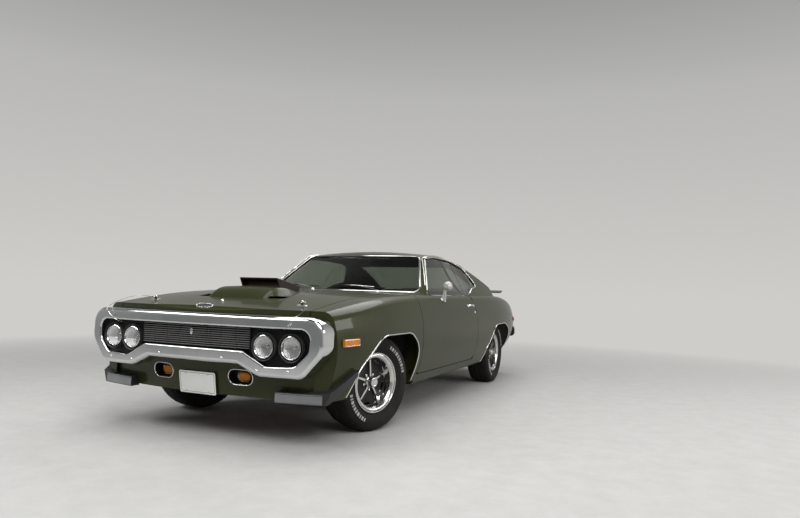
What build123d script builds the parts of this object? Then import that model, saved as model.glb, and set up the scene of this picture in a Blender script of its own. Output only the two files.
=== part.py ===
"""Two-door hardtop muscle car of the early seventies, at full size.

Millimetres. The nose points along -Y, +X is the car's left side and Z is up. The origin is on
the floor, under the middle of the car's length and width. Each function makes one or two nodes,
and the table NODES at the end names them all.
"""
import os
from functools import cache

from build123d import *

# Overall sizes
LENGTH = 5161.0
WIDTH = 2009.0
WHEELBASE = 2921.0
FRONT_OVERHANG = 970.5
FRONT_TRACK = 1527.0
REAR_TRACK = 1575.0
BELT_Z = 950.0
ROOF_Z = 1370.0
SILL_Z = 258.0
NOSE_Y = -LENGTH / 2
TAIL_Y = LENGTH / 2
HALF_WIDTH = WIDTH / 2
FRONT_AXLE_Y = NOSE_Y + FRONT_OVERHANG
REAR_AXLE_Y = FRONT_AXLE_Y + WHEELBASE

# Sheet metal, gaps and clearances
SKIN = 8.0
CABIN_WALL = 26.0
GLASS = 5.0
GLASS_INSET = 9.0
PANEL_GAP = 6.0
SEAT_GAP = 0.3
MOVING_GAP = 5.5

# Panels and openings
HOOD_REAR_Y = -1222.0
HOOD_HALF = 722.0
HOOD_FRONT_HALF = 770.0
HOOD_LIP_Z = 790.0
COWL_HALF = 735.0
FENDER_SILL_Z = 290.0
DOOR_FRONT_Y = -1100.0
DOOR_REAR_Y = 330.0
DOOR_INNER_X = 850.0
DOOR_SILL_Z = 345.0
STRIKER_X = 880.0
STRIKER_Z = 640.0
STRIKER_R = 8.0
DECK_FRONT_Y = 1710.0
DECK_HALF = 640.0
DECK_LOW_Z = 800.0
TRAY_HALF = DECK_HALF - 20
TAIL_HALF = 780.0
PLATE_HOLES_X = 88.9
PLATE_HOLES_Z = 712.0
PLATE_HOLE_R = 3.5
FLOOR_Z = SILL_Z + SKIN
FLOOR_SHEET = 6.0
FIREWALL_Y = -1000.0
TRUNK_FLOOR_Z = 520.0
ROCKER_INNER_X = DOOR_INNER_X - 20

# Wheels and steering
TYRE_R = 335.0
TYRE_W = 245.0
RIM_R = 190.0
RIM_LIP_R = 207.0
RIM_W = 205.0
SPINDLE_R = 32.0
RUNNING_FIT = 0.05
STEER_AXIS_X = 690.0
STEER_AT_REST = 17.0
RIM_LIP = 6.5
RIM_WALL = 14.0
HUB_R = 42.0
SPOKE_OUT = 48.0
DISH_BACK = SPOKE_OUT - 34
SPOKES = 5

# Hood with its bulge, vents, air scoop and pins
BULGE_FLANK = 110.0
BULGE_R = 30.0
VENT_Y = (-2128.0, -1995.0)
VENT_Z = (902.0, 918.0)
SCOOP_HALF = 165.0
SCOOP_HINGE_Y = -1600.0
SCOOP_FRONT_Y = -1905.0
SCOOP_HINGE_Z = 989.0
SCOOP_RISE = 56.0
SCOOP_TRAY_Z = 892.0
SCOOP_PIN_Y = SCOOP_HINGE_Y - 12
SCOOP_PIN_Z = SCOOP_HINGE_Z - 14
SCOOP_PIN_R = 5.0
HOOD_PIN_X = 610.0
HOOD_PIN_Y = -2262.0
HOOD_PIN_R = 8.0
HOOD_PIN_TOP_Z = 897.0
HOOD_REST_R = 22.0

# Front end
BUMPER_BOW = 70.0
BUMPER_BACK_BOW = 125.0
BUMPER_BOW_X = 918.0
BUMPER_DEPTH = 80.0
BUMPER_OUTER_R = 28.0
BUMPER_INNER_R = 12.0
NOSE_GAP = 8.0
VALANCE_HALF = 796.0
GRILLE_DEPTH = 30.0
GRILLE_BARS = 10
GRILLE_PITCH = 13.2
GRILLE_RIBS = 8
GRILLE_BAR = 4.5
GRILLE_RIB = 3.0
GRILLE_LOW_Z = 602.0
LAMP_PANEL_X = 430.0
LAMP_PANEL_DEPTH = 50.0
LAMP_R = 73.0
LAMP_X = [525.0, 707.0]
LAMP_Z = 622.0
LAMP_BEZEL = 9.0
LENS_DEPTH = 14.0
REAR_BUMPER_R = 20.0
WING_HALF = 700.0
WING_POST_X = 420.0
VALANCE_TOP = (503.0, 92.0)
VALANCE_LOW = (296.0, 125.0)
POD_X = 310.0
POD_Z = 415.0
POD_HALF = 85.0
POD_R = 46.0
POD_DEPTH = 62.0
POD_WALL = 3.0
CHIN_INNER_X = 576.0
CHIN_THICK = 30.0
CHIN_LOW_Z = 286.0
CHIN_FRONT_Z = 350.0
CHIN_REAR_Y = -2156.0
SUPPORT_Y = NOSE_Y + 230
RAIL_OUT_X = 440.0

# Inside and underneath
DRIVER_X = 370.0
SPRING_X = 500.0
SPRING_REACH = 550.0
GEARBOX_REAR_Y = -890.0
ENGINE_BASE_Z = 290.0
TUNNEL_HALF = 130.0
TUNNEL_Z = 445.0
WELL_R = 405.0
WELL_X = 632.0

# Lower body, one row to each cross-section
# y, how far inboard of the half width are the sill, the widest point and the shoulder,
# heights of sill and widest point, shoulder below the belt line, crown above the shoulder,
# shoulder radius
HULL = [
    (NOSE_Y + 20, 185, 98, 150, SILL_Z + 60, 640, 132, 18, 60),
    (NOSE_Y + 380, 150, 50, 98, SILL_Z + 10, 645, 86, 28, 90),
    (FRONT_AXLE_Y, 125, 17, 84, SILL_Z, 640, 24, 36, 95),
    (DOOR_FRONT_Y, 112, 18, 88, SILL_Z, 625, 2, 24, 80),
    (-300.0, 110, 14, 96, SILL_Z, 615, -2, 22, 60),
    (450.0, 112, 6, 94, SILL_Z, 620, -6, 24, 60),
    (REAR_AXLE_Y, 130, 0, 104, SILL_Z + 20, 650, -12, 26, 90),
    (TAIL_Y - 520, 180, 82, 160, SILL_Z + 110, 690, 40, 50, 100),
    (TAIL_Y - 20, 260, 190, 260, SILL_Z + 160, 700, 110, 60, 90),
]
SILL_R = 45.0

# Cabin, one row to each plan outline
# height over the floor, front at the middle, front corner x and y, side at the middle,
# rear corner x and y, rear at the middle
CABIN = [
    (BELT_Z - 60, -945, 855, -700, 898, 878, 1960, 1860),
    (BELT_Z, -880, 825, -640, 868, 848, 1750, 1660),
    (BELT_Z + 180, -600, 730, -440, 765, 765, 1200, 1150),
    (ROOF_Z - 70, -325, 640, -240, 655, 655, 570, 600),
    (ROOF_Z + 30, -165, 590, -125, 600, 588, 160, 280),
]
# How much further the walls move in plan to be pulled in by one unit square to their slope
SIDE_SLOPE = 1.17
FRONT_SLOPE = 1.8
REAR_SLOPE = 3.2
# Roof skin, one row to each cross-section
# y, how far the middle is below the roof's top, how much lower the edges are, how far out they
# are, edge radius
ROOF = [
    (-1060.0, 330, 70, 900, 30),
    (-620.0, 180, 60, 765, 40),
    (-280.0, 44, 42, 660, 55),
    (0.0, 0, 40, 643, 60),
    (420.0, 24, 42, 655, 60),
    (800.0, 75, 45, 715, 55),
    (1200.0, 170, 50, 800, 50),
    (2040.0, 330, 60, 940, 40),
]
ROOF_SIDE_LEAN = 0.61

# Side window outline, y and z and corner radius
SIDE_WINDOW = [
    (-612, BELT_Z + 8, 12), (-246, ROOF_Z - 82, 40), (-50, ROOF_Z - 60, 90), (420, ROOF_Z - 64, 160),
    (690, ROOF_Z - 132, 60), (842, BELT_Z + 120, 22), (640, BELT_Z + 92, 60), (440, BELT_Z + 22, 80),
    (330, BELT_Z + 8, 60),
]
WINDOW_INNER_X = 630.0
DIVIDER = ((318.0, BELT_Z - 40), (424.0, ROOF_Z))

# Wheel openings about the axles: y, z and corner radius
FRONT_ARCH = [
    (-560, -340, 0), (-500, 130, 250), (-215, 336, 330), (275, 336, 200), (438, 230, 160), (415, -340, 0),
]
REAR_ARCH = [
    (-590, -340, 0), (-560, 90, 90), (-330, 322, 240), (60, 326, 200), (330, 240, 190), (400, -340, 0),
]

# Hood bulge, one row to each cross-section: y, half width of its top, height of its top
BULGE = [
    (-2168.0, 226, 876),
    (-2060.0, 234, 958),
    (-1935.0, 242, 977),
    (HOOD_REAR_Y + 20, 262, 990),
]

# Front bumper loop, right half from the middle outwards: x, z and corner radius
LOOP_OUTER = [
    (0, 808), (914, 808, 105), (922, 600, 120), (790, 441, 80), (500, 441, 110), (352, 507, 60), (0, 507),
]
LOOP_INNER = [
    (0, 731), (838, 731, 62), (826, 600, 60), (742, 516, 60), (548, 508, 70), (385, 592, 50), (0, 592),
]

# Underside of the floor from the firewall back: y, z
FLOOR_LINE = [
    (FIREWALL_Y, 940), (FIREWALL_Y + 20, 440), (FIREWALL_Y + 190, FLOOR_Z), (640.0, FLOOR_Z),
    (840.0, 500.0), (960.0, TRUNK_FLOOR_Z), (TAIL_Y - 170, TRUNK_FLOOR_Z),
]

PLACES = {
    "x": lambda u, v, w: Vector(w, u, v),
    "y": lambda u, v, w: Vector(u, w, v),
    "z": lambda u, v, w: Vector(u, v, w),
}


def bar(axis, outline, start, end):
    """A prism along an axis; the outline's points are (u, v) or (u, v, corner radius)."""
    place = PLACES[axis]
    corners = [place(p[0], p[1], start) for p in outline]
    face = Face(Wire.make_polygon(corners))
    for corner, point in zip(corners, outline):
        if len(point) > 2 and point[2] > 0:
            face = face.fillet_2d(point[2], [face.vertices().sort_by_distance(corner)[0]])
    return Solid.extrude(face, place(0, 0, end) - place(0, 0, start))


def box(x0, x1, y0, y1, z0, z1):
    return Solid.make_box(x1 - x0, y1 - y0, z1 - z0, Plane((x0, y0, z0)))


def rod(axis, u, v, radius, start, end):
    """A round bar along an axis, centred at (u, v)."""
    place = PLACES[axis]
    step = place(0, 0, end) - place(0, 0, start)
    return Solid.make_cylinder(radius, step.length, Plane(place(u, v, start), z_dir=step))


def strut(a, b, radius):
    """A round bar from one point to another."""
    a, b = Vector(*a), Vector(*b)
    return Solid.make_cylinder(radius, (b - a).length, Plane(a, z_dir=b - a))


def turned(outline, y=0.0, z=0.0):
    """A turned solid about X; the outline's points are (x, radius)."""
    face = Face(Wire.make_polygon([Vector(x, 0, r) for x, r in outline]))
    return Solid.revolve(face, 360, Axis((0, 0, 0), (1, 0, 0))).moved(Location((0, y, z)))


def fused(first, *others):
    return first.fuse(*others)


def other_side(shape):
    """The same shape on the car's other side."""
    return shape.mirror(Plane.YZ)


def group(*shapes):
    return Compound(children=[s for shape in shapes for s in shape.solids()])


def both_sides(shape):
    return group(shape, other_side(shape))


def lofted(sections):
    return Solid.make_loft([s.outer_wire() for s in sections])


def hull_section(row, inset):
    """One cross-section of the lower body, pulled in by inset."""
    y, in_sill, in_wide, in_shoulder, z_sill, z_wide, drop, crown, r = row
    x_sill, x_wide, x_shoulder = (HALF_WIDTH - inset - i for i in (in_sill, in_wide, in_shoulder))
    z_sill = z_sill + inset
    z_shoulder = BELT_Z - drop - inset
    sills = Vector(-x_sill, y, z_sill), Vector(x_sill, y, z_sill)
    tops = Vector(-x_shoulder, y, z_shoulder), Vector(x_shoulder, y, z_shoulder)
    face = Face(Wire([
        Edge.make_line(sills[0], sills[1]),
        Edge.make_three_point_arc(sills[1], Vector(x_wide, y, z_wide), tops[1]),
        Edge.make_three_point_arc(tops[1], Vector(0, y, z_shoulder + crown), tops[0]),
        Edge.make_three_point_arc(tops[0], Vector(-x_wide, y, z_wide), sills[0]),
    ]))
    for ends, radius in ((sills, SILL_R), (tops, max(r - inset, 10.0))):
        face = face.fillet_2d(radius, [face.vertices().sort_by_distance(p)[0] for p in ends])
    return face


@cache
def hull(inset=0.0):
    return lofted([hull_section(row, inset) for row in HULL])


def cabin_section(row, inset):
    """One plan outline of the cabin above the belt line, pulled in by inset."""
    z, y_front, x_front, y_front_corner, x_side, x_rear, y_rear_corner, y_rear = row
    side, front, rear = inset * SIDE_SLOPE, inset * FRONT_SLOPE, inset * REAR_SLOPE
    fronts = [Vector(s * (x_front - side), y_front_corner + front, z) for s in (-1, 1)]
    rears = [Vector(s * (x_rear - side), y_rear_corner - rear, z) for s in (-1, 1)]
    y_middle = (y_front_corner + y_rear_corner) / 2
    face = Face(Wire([
        Edge.make_three_point_arc(fronts[0], Vector(0, y_front + front, z), fronts[1]),
        Edge.make_three_point_arc(fronts[1], Vector(x_side - side, y_middle, z), rears[1]),
        Edge.make_three_point_arc(rears[1], Vector(0, y_rear - rear, z), rears[0]),
        Edge.make_three_point_arc(rears[0], Vector(-x_side + side, y_middle, z), fronts[0]),
    ]))
    for ends in (fronts, rears):
        face = face.fillet_2d(40, [face.vertices().sort_by_distance(p)[0] for p in ends])
    return face


def roof_section(row, inset):
    """One cross-section of the space under the roof skin, lowered by inset."""
    y, drop, edge_drop, x_edge, radius = row
    top = ROOF_Z - drop - inset
    x_edge = x_edge - inset * SIDE_SLOPE
    z_foot = BELT_Z - 200
    x_foot = x_edge + ROOF_SIDE_LEAN * (top - edge_drop - z_foot)
    ends = [Vector(s * x_edge, y, top - edge_drop) for s in (-1, 1)]
    feet = [Vector(s * x_foot, y, z_foot) for s in (-1, 1)]
    face = Face(Wire([
        Edge.make_three_point_arc(ends[0], Vector(0, y, top), ends[1]),
        Edge.make_line(ends[1], feet[1]),
        Edge.make_line(feet[1], feet[0]),
        Edge.make_line(feet[0], ends[0]),
    ]))
    return face.fillet_2d(radius, [face.vertices().sort_by_distance(p)[0] for p in ends])


def largest(shape):
    return max(shape.solids(), key=lambda solid: solid.volume)


@cache
def cabin(inset=0.0):
    """The cabin above the belt line under its crowned roof, pulled in by inset."""
    walls = lofted([cabin_section(row, inset) for row in CABIN])
    return largest(walls & lofted([roof_section(row, inset) for row in ROOF]))


def slab(axis, start, end, reach=3000.0):
    """Everything between two planes across an axis."""
    low, high = Vector(-reach, -reach, -reach), Vector(reach, reach, reach)
    limits = {"x": (0,), "y": (1,), "z": (2,)}[axis][0]
    low = [start if i == limits else v for i, v in enumerate(low)]
    high = [end if i == limits else v for i, v in enumerate(high)]
    return box(low[0], high[0], low[1], high[1], low[2], high[2])


def bowed(y_front, y_back, front_bow, back_bow, z=0.0, height=2000.0):
    """The space between two bowed plan lines, each given at the middle."""
    half = HALF_WIDTH + 40
    scale = (half / BUMPER_BOW_X) ** 2
    front, back = y_front + front_bow * scale, y_back + back_bow * scale
    face = Face(Wire([
        Edge.make_three_point_arc(Vector(-half, front, z), Vector(0, y_front, z), Vector(half, front, z)),
        Edge.make_line(Vector(half, front, z), Vector(half, back, z)),
        Edge.make_three_point_arc(Vector(half, back, z), Vector(0, y_back, z), Vector(-half, back, z)),
        Edge.make_line(Vector(-half, back, z), Vector(-half, front, z)),
    ]))
    return Solid.extrude(face, Vector(0, 0, height))


def side_profile(inset):
    """Side view of the nose and tail, pulled in by inset."""
    front, rear = NOSE_Y + inset, TAIL_Y - inset
    return [
        (front + 62, 200), (front + 62, 806 - inset, 24), (front + 125, 843 - inset, 80), (front + 500, 1500),
        (REAR_AXLE_Y, 1500), (rear - 330, 975 - inset, 300), (rear - 128, 832 - inset, 50),
        (rear - 62, 700, 60), (rear - 128, 440, 60), (rear - 300, 200),
    ]


def body_space(inset):
    """The lower body's left half, with its nose and tail rounded."""
    nose, tail = NOSE_Y + BUMPER_DEPTH + NOSE_GAP + inset, TAIL_Y - 40 - inset
    ends = bowed(nose, tail, BUMPER_BACK_BOW, -90)
    return hull(inset) & ends & bar("x", side_profile(inset), 0, 1100)


@cache
def body_skin():
    return body_space(0) - body_space(SKIN)


def hood_outline(grow):
    """Plan outline of the hood's gap, grown by grow."""
    side = HOOD_HALF + grow
    front = HOOD_FRONT_HALF + grow
    return [(-side, HOOD_REAR_Y + grow, 30), (-front, NOSE_Y - 60), (front, NOSE_Y - 60),
            (side, HOOD_REAR_Y + grow, 30)]


def deck_outline(grow):
    half = DECK_HALF + grow
    return [(-half - 60, DECK_FRONT_Y - grow, 40), (half + 60, DECK_FRONT_Y - grow, 40),
            (half, TAIL_Y + 60), (-half, TAIL_Y + 60)]


def arch(y, z, outline):
    """The left wheel opening, from its outline about the axle."""
    return bar("x", [(y + dy, z + dz, r) for dy, dz, r in outline], 560, 1200)


def door_outline(grow):
    """Side view of a door, grown by grow, without its window."""
    y0, y1, z0 = DOOR_FRONT_Y - grow, DOOR_REAR_Y + grow, DOOR_SILL_Z - grow
    return [(y0, z0, 40 + grow), (y0, BELT_Z + 60), (y1, BELT_Z + 60), (y1, z0, 60 + grow)]


def window_outline(shrink):
    """Side view of the window opening, shrunk by shrink."""
    middle_y, middle_z = 60.0, BELT_Z + 160
    return [(y + (shrink if y < middle_y else -shrink), z + (shrink if z < middle_z else -shrink), r)
            for y, z, r in SIDE_WINDOW]


def hood_space(grow, low=BELT_Z - 200, high=BELT_Z + 200):
    return bar("z", hood_outline(grow), low, high)


def deck_space(grow):
    """Above and behind the decklid, down to its rear edge."""
    return bar("z", deck_outline(grow), DECK_LOW_Z - grow, BELT_Z + 200)


def fenders():
    region = box(0, 1100, NOSE_Y, DOOR_FRONT_Y - PANEL_GAP, FENDER_SILL_Z, 1200)
    region = region - box(0, COWL_HALF, HOOD_REAR_Y - 60, 0, 0, 1200) - box(0, 800, NOSE_Y, 0, 0, HOOD_LIP_Z)
    skin = body_skin() & region
    skin = skin - hood_space(PANEL_GAP / 2) - arch(FRONT_AXLE_Y, TYRE_R, FRONT_ARCH)
    return both_sides(largest(skin))


def cowl_panel():
    """Between the hood and the windshield, from fender to fender."""
    skin = body_skin() & box(0, COWL_HALF - SEAT_GAP, HOOD_REAR_Y + PANEL_GAP / 2, -500, 700, 1200)
    beside = body_skin() & box(COWL_HALF - 20, DOOR_INNER_X - 22, DOOR_FRONT_Y, -500, 700, 1200)
    skin = largest(skin + beside) - cabin(CABIN_WALL)
    return fused(skin, other_side(skin))


def roof():
    """Roof, windshield pillars and rear sail panels, in one shell."""
    half = cabin() - cabin(CABIN_WALL)
    half = half & slab("x", 0, 1100)
    half = half - hull()
    half = half - bar("x", window_outline(0), WINDOW_INNER_X, 1100)
    half = half - bar("y", windshield_outline(0), -1100, -190)
    half = half - bar("z", backlight_outline(0), BELT_Z, ROOF_Z)
    half = largest(half)
    return fused(half, other_side(half))


def windshield_outline(shrink):
    low, high = BELT_Z + 32 + shrink, ROOF_Z - 62 - shrink
    return [
        (-752 + shrink, low, 30), (752 - shrink, low, 30),
        (575 - shrink, high, 60), (-575 + shrink, high, 60),
    ]


def backlight_outline(shrink):
    front, rear = 690 + shrink, 1500 - shrink
    return [(-520 + shrink, front, 60), (520 - shrink, front, 60), (610 - shrink, rear, 60),
            (-610 + shrink, rear, 60)]


@cache
def glass_shell():
    shell = cabin(GLASS_INSET) - cabin(GLASS_INSET + GLASS)
    return shell & slab("x", 0, 1100)


def windshield():
    half = glass_shell() & bar("y", windshield_outline(SEAT_GAP), -1100, -190)
    half = largest(half)
    return fused(half, other_side(half))


def backlight():
    half = largest(glass_shell() & bar("z", backlight_outline(SEAT_GAP), BELT_Z, ROOF_Z))
    return fused(half, other_side(half))


def divider_side(offset, rear):
    """Everything behind, or ahead of, the line between door glass and quarter glass."""
    (y0, z0), (y1, z1) = DIVIDER
    far = 2000 if rear else -2000
    return bar("x", [(y0 + offset, z0), (far, z0), (far, z1), (y1 + offset, z1)], 500, 1100)


def quarter_glass():
    pane = glass_shell() & bar("x", window_outline(SEAT_GAP), WINDOW_INNER_X, 1100) & divider_side(4, True)
    return both_sides(largest(pane - hull()))


@cache
def door_glass():
    pane = glass_shell() & bar("x", window_outline(PANEL_GAP), WINDOW_INNER_X, 1100) & divider_side(-4, False)
    return largest(pane - hull())


def quarters():
    """Rear quarter panels with the door jambs."""
    region = box(0, 1100, DOOR_REAR_Y + PANEL_GAP, TAIL_Y, SILL_Z, 1200)
    region = region - box(0, TAIL_HALF, 0, TAIL_Y, 0, TAIL_HALF)
    skin = body_skin() & region
    skin = skin - deck_space(PANEL_GAP / 2) - arch(REAR_AXLE_Y, TYRE_R, REAR_ARCH) - cabin(CABIN_WALL)
    skin = largest(skin - box(0, TRAY_HALF, 1300, TAIL_Y, 700, 1200))
    jamb = hull(SKIN) & box(STRIKER_X - 20, 1100, DOOR_REAR_Y + PANEL_GAP, DOOR_REAR_Y + 20, 400, 850)
    striker = rod("y", STRIKER_X, STRIKER_Z, STRIKER_R, DOOR_REAR_Y - 30, DOOR_REAR_Y + 12)
    return both_sides(fused(skin, jamb, striker))


@cache
def door():
    slab_left = hull() & bar("x", door_outline(0), DOOR_INNER_X, 1100)
    inner_cut = box(DOOR_INNER_X - 1, HALF_WIDTH - 74, DOOR_REAR_Y - 14, DOOR_REAR_Y + 1, 0, 2000)
    slot = cabin(GLASS_INSET - 2) - cabin(GLASS_INSET + GLASS + 2)
    catch = box(DOOR_INNER_X - 1, STRIKER_X + STRIKER_R + SEAT_GAP, DOOR_REAR_Y - 40, DOOR_REAR_Y + 1,
                STRIKER_Z - STRIKER_R - MOVING_GAP, STRIKER_Z + STRIKER_R + MOVING_GAP)
    slot = slot & box(0, 1100, DOOR_FRONT_Y, DOOR_REAR_Y, 900, 1200)
    return largest(slab_left - inner_cut - catch - slot)


def rockers():
    region = box(DOOR_INNER_X - 20, 1100, DOOR_FRONT_Y - PANEL_GAP + 0.3, DOOR_REAR_Y + PANEL_GAP - 0.3,
                 SILL_Z, DOOR_SILL_Z - PANEL_GAP)
    return both_sides(largest(hull() & region))


def bulge(inset):
    """The raised middle of the hood, left half, pulled in by inset."""
    sections = []
    foot_z = 840.0 - inset
    for y, half, top in BULGE:
        half, top = half - inset, top - inset
        corners = [Vector(half, y, top), Vector(-half, y, top)]
        feet = [Vector(-half - BULGE_FLANK, y, foot_z), Vector(half + BULGE_FLANK, y, foot_z)]
        face = Face(Wire([
            Edge.make_line(feet[1], corners[0]),
            Edge.make_three_point_arc(corners[0], Vector(0, y, top + 8), corners[1]),
            Edge.make_line(corners[1], feet[0]),
            Edge.make_line(feet[0], feet[1]),
        ]))
        sections.append(face.fillet_2d(BULGE_R, [face.vertices().sort_by_distance(c)[0] for c in corners]))
    return lofted(sections) & slab("x", 0, 1100)


def hood():
    space = hood_space(-PANEL_GAP / 2)
    skin = body_skin() & space & slab("z", HOOD_LIP_Z, 1200)
    raised = (bulge(0) & space) - hull(SKIN)
    half = largest(skin + raised) - bulge(SKIN)
    side, front, rear = SCOOP_HALF + PANEL_GAP, SCOOP_FRONT_Y - 16, SCOOP_HINGE_Y + PANEL_GAP
    tray = box(0, side + 4, front - 4, rear + 4, SCOOP_TRAY_Z, 990) & bulge(2)
    half = largest(half + tray) - box(-1, side, front, rear, SCOOP_TRAY_Z + 4, 1200)
    half = half + rod("x", SCOOP_PIN_Y, SCOOP_PIN_Z, SCOOP_PIN_R, SCOOP_HALF - SKIN - 3, side + 2)
    half = half - rod("z", HOOD_PIN_X, HOOD_PIN_Y, HOOD_PIN_R + MOVING_GAP, 700, 1000)
    half = half - box(BULGE[0][1] + 20, BULGE[0][1] + BULGE_FLANK + 20, *VENT_Y, *VENT_Z)
    return fused(largest(half), other_side(largest(half)))


def decklid():
    skin = body_skin() & deck_space(-PANEL_GAP / 2)
    skin = largest(skin & slab("y", DECK_FRONT_Y, TAIL_Y))
    return fused(skin, other_side(skin))


def rear_deck_panel():
    """The strip between the rear window and the decklid."""
    region = box(0, TRAY_HALF - SEAT_GAP, 1300, DECK_FRONT_Y - PANEL_GAP / 2, 800, 1200)
    strip = largest((body_skin() & region) - cabin(CABIN_WALL))
    return fused(strip, other_side(strip))


def tail_panel():
    """The upright panel behind the rear bumper and under the decklid."""
    region = box(0, TAIL_HALF - SEAT_GAP, TAIL_Y - 200, TAIL_Y, 445, DECK_LOW_Z - PANEL_GAP)
    region = region - box(TAIL_HALF - 200, 1000, 0, TAIL_Y, TAIL_HALF - SEAT_GAP, 900)
    panel = largest(body_skin() & region)
    buffers = [rod("z", x, TAIL_Y - 116, 4, DECK_LOW_Z - 25, DECK_LOW_Z + PANEL_GAP / 2 - SEAT_GAP)
               for x in (-300, 300)]
    pad = box(-155, 155, TAIL_Y - 78, TAIL_Y - 48, PLATE_HOLES_Z - 60, PLATE_HOLES_Z + 24)
    panel = fused(panel, other_side(panel), pad, *buffers)
    for x in (-PLATE_HOLES_X, PLATE_HOLES_X):
        panel = panel - rod("y", x, PLATE_HOLES_Z, PLATE_HOLE_R, TAIL_Y - 100, TAIL_Y)
    return panel


def closed_loop(half_outline):
    """A symmetric outline from its right half, whose first and last points lie on the middle."""
    left = [(-p[0], *p[1:]) for p in reversed(half_outline[1:-1])]
    return half_outline[1:-1] + left


def front_bumper():
    band = bowed(NOSE_Y, NOSE_Y + BUMPER_DEPTH, BUMPER_BOW, BUMPER_BACK_BOW)
    ring = bar("y", closed_loop(LOOP_OUTER), NOSE_Y - 60, NOSE_Y + 400)
    hole = bar("y", closed_loop(LOOP_INNER), NOSE_Y - 60, NOSE_Y + 400)
    brackets = [box(x - 30, x + 30, NOSE_Y + 60, SUPPORT_Y - SEAT_GAP, 515, 555) for x in (-405, 405)]
    loop = largest((ring & band) - hole)
    loop = loop.fillet(BUMPER_OUTER_R, loop.faces().sort_by(Axis.Y)[0].outer_wire().edges())
    inner = [edge for wire in loop.faces().sort_by(Axis.Y)[0].inner_wires() for edge in wire.edges()]
    return fused(loop.fillet(BUMPER_INNER_R, inner), *brackets)


def front_y(x, depth):
    """How far back the front end is, depth behind the bumper's face."""
    return NOSE_Y + depth + BUMPER_BOW * (x / BUMPER_BOW_X) ** 2


def loop_opening(start, end):
    """The space inside the bumper's loop, between two bowed depths."""
    opening = bar("y", closed_loop(LOOP_INNER), NOSE_Y - 60, NOSE_Y + 400)
    return opening & bowed(NOSE_Y + start, NOSE_Y + end, BUMPER_BOW, BUMPER_BOW)


def grille():
    """Thin bars on upright ribs, between two panels that hold the headlamps."""
    middle = loop_opening(GRILLE_DEPTH, LAMP_PANEL_DEPTH) & slab("x", -LAMP_PANEL_X, LAMP_PANEL_X)
    panels = loop_opening(LAMP_PANEL_DEPTH - 6, LAMP_PANEL_DEPTH) - slab("x", -LAMP_PANEL_X, LAMP_PANEL_X)
    heights = [GRILLE_LOW_Z + i * GRILLE_PITCH for i in range(GRILLE_BARS)]
    ribs = [LAMP_PANEL_X * (2 * i / GRILLE_RIBS - 1) for i in range(GRILLE_RIBS + 1)]
    bars = [middle & slab("z", z, z + GRILLE_BAR) for z in heights]
    bars += [middle & slab("x", x - GRILLE_RIB, x + GRILLE_RIB) for x in ribs]
    shape = fused(*bars, *panels.solids())
    for x in (*LAMP_X, *(-x for x in LAMP_X)):
        y = front_y(abs(x), LAMP_PANEL_DEPTH)
        collar = rod("y", x, LAMP_Z, LAMP_R + LAMP_BEZEL, y - 24, y)
        shape = fused(shape, collar & loop_opening(0, 200))
        shape = shape - rod("y", x, LAMP_Z, LAMP_R + SEAT_GAP, y - 60, y + 60)
    return shape


def headlamps():
    """Four round lamps in their collars, each with a domed glass."""
    lamps = []
    for x in LAMP_X:
        y = front_y(x, LAMP_PANEL_DEPTH)
        lamp = rod("y", x, LAMP_Z, LAMP_R, y - 22, y + 30)
        lamps.append(lamp.fillet(8, [lamp.edges().filter_by(GeomType.CIRCLE).sort_by(Axis.Y)[0]]))
    return both_sides(group(*lamps))


def valance_depth(z):
    """How far the valance's face is behind the bumper's face, at a height."""
    (z0, depth0), (z1, depth1) = VALANCE_LOW, VALANCE_TOP
    return depth0 + (z - z0) / (z1 - z0) * (depth1 - depth0)


def leaning(low, high, inner, outer):
    """A bowed sheet between two heights; low and high are (z, front depth, back depth)."""
    wires = []
    for z, front, back in (low, high):
        sheet = bowed(NOSE_Y + front, NOSE_Y + back, BUMPER_BACK_BOW, BUMPER_BACK_BOW, z, 1)
        sheet = sheet & box(inner, outer, NOSE_Y, 0, z - 1, z + 2)
        wires.append(sheet.faces().sort_by(Axis.Z)[0].outer_wire())
    return Solid.make_loft(wires, True)


def valance_sheet(front, back, half=VALANCE_HALF):
    """The space between two distances behind the valance's face."""
    low, high = [(z, depth + front, depth + back) for z, depth in (VALANCE_LOW, VALANCE_TOP)]
    return leaning(low, high, -half, half)


def pod(x, grow):
    """An oval prism through the valance."""
    half, r = POD_HALF + grow, POD_R + grow
    outline = [(x - half, POD_Z - r, r - 1), (x + half, POD_Z - r, r - 1), (x + half, POD_Z + r, r - 1),
               (x - half, POD_Z + r, r - 1)]
    return bar("y", outline, NOSE_Y, NOSE_Y + 300)


def front_valance():
    """The painted panel that leans back under the bumper, with its two lamp tunnels."""
    return valance_sheet(0, SKIN) - pod(POD_X, SEAT_GAP) - pod(-POD_X, SEAT_GAP)


def turn_lamps():
    """Oval tunnels in the valance, each closed by a lens."""
    outer = valance_sheet(-2, POD_DEPTH, VALANCE_HALF - 100) & pod(POD_X, 0)
    return both_sides(outer - (valance_sheet(-3, POD_DEPTH - 12, VALANCE_HALF - 100) & pod(POD_X, -POD_WALL)))


def tyre(x, y):
    """A tyre of straight-sided section about its wheel's middle."""
    half, flange = TYRE_W / 2, RIM_W / 2 - RIM_LIP - SEAT_GAP
    outline = [(flange, RIM_R + SEAT_GAP), (flange, RIM_LIP_R + 1), (half, TYRE_R - 73), (half - 40, TYRE_R)]
    outline = outline + [(-u, r) for u, r in reversed(outline)]
    return turned([(x + u, r) for u, r in outline], y, TYRE_R)


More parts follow.
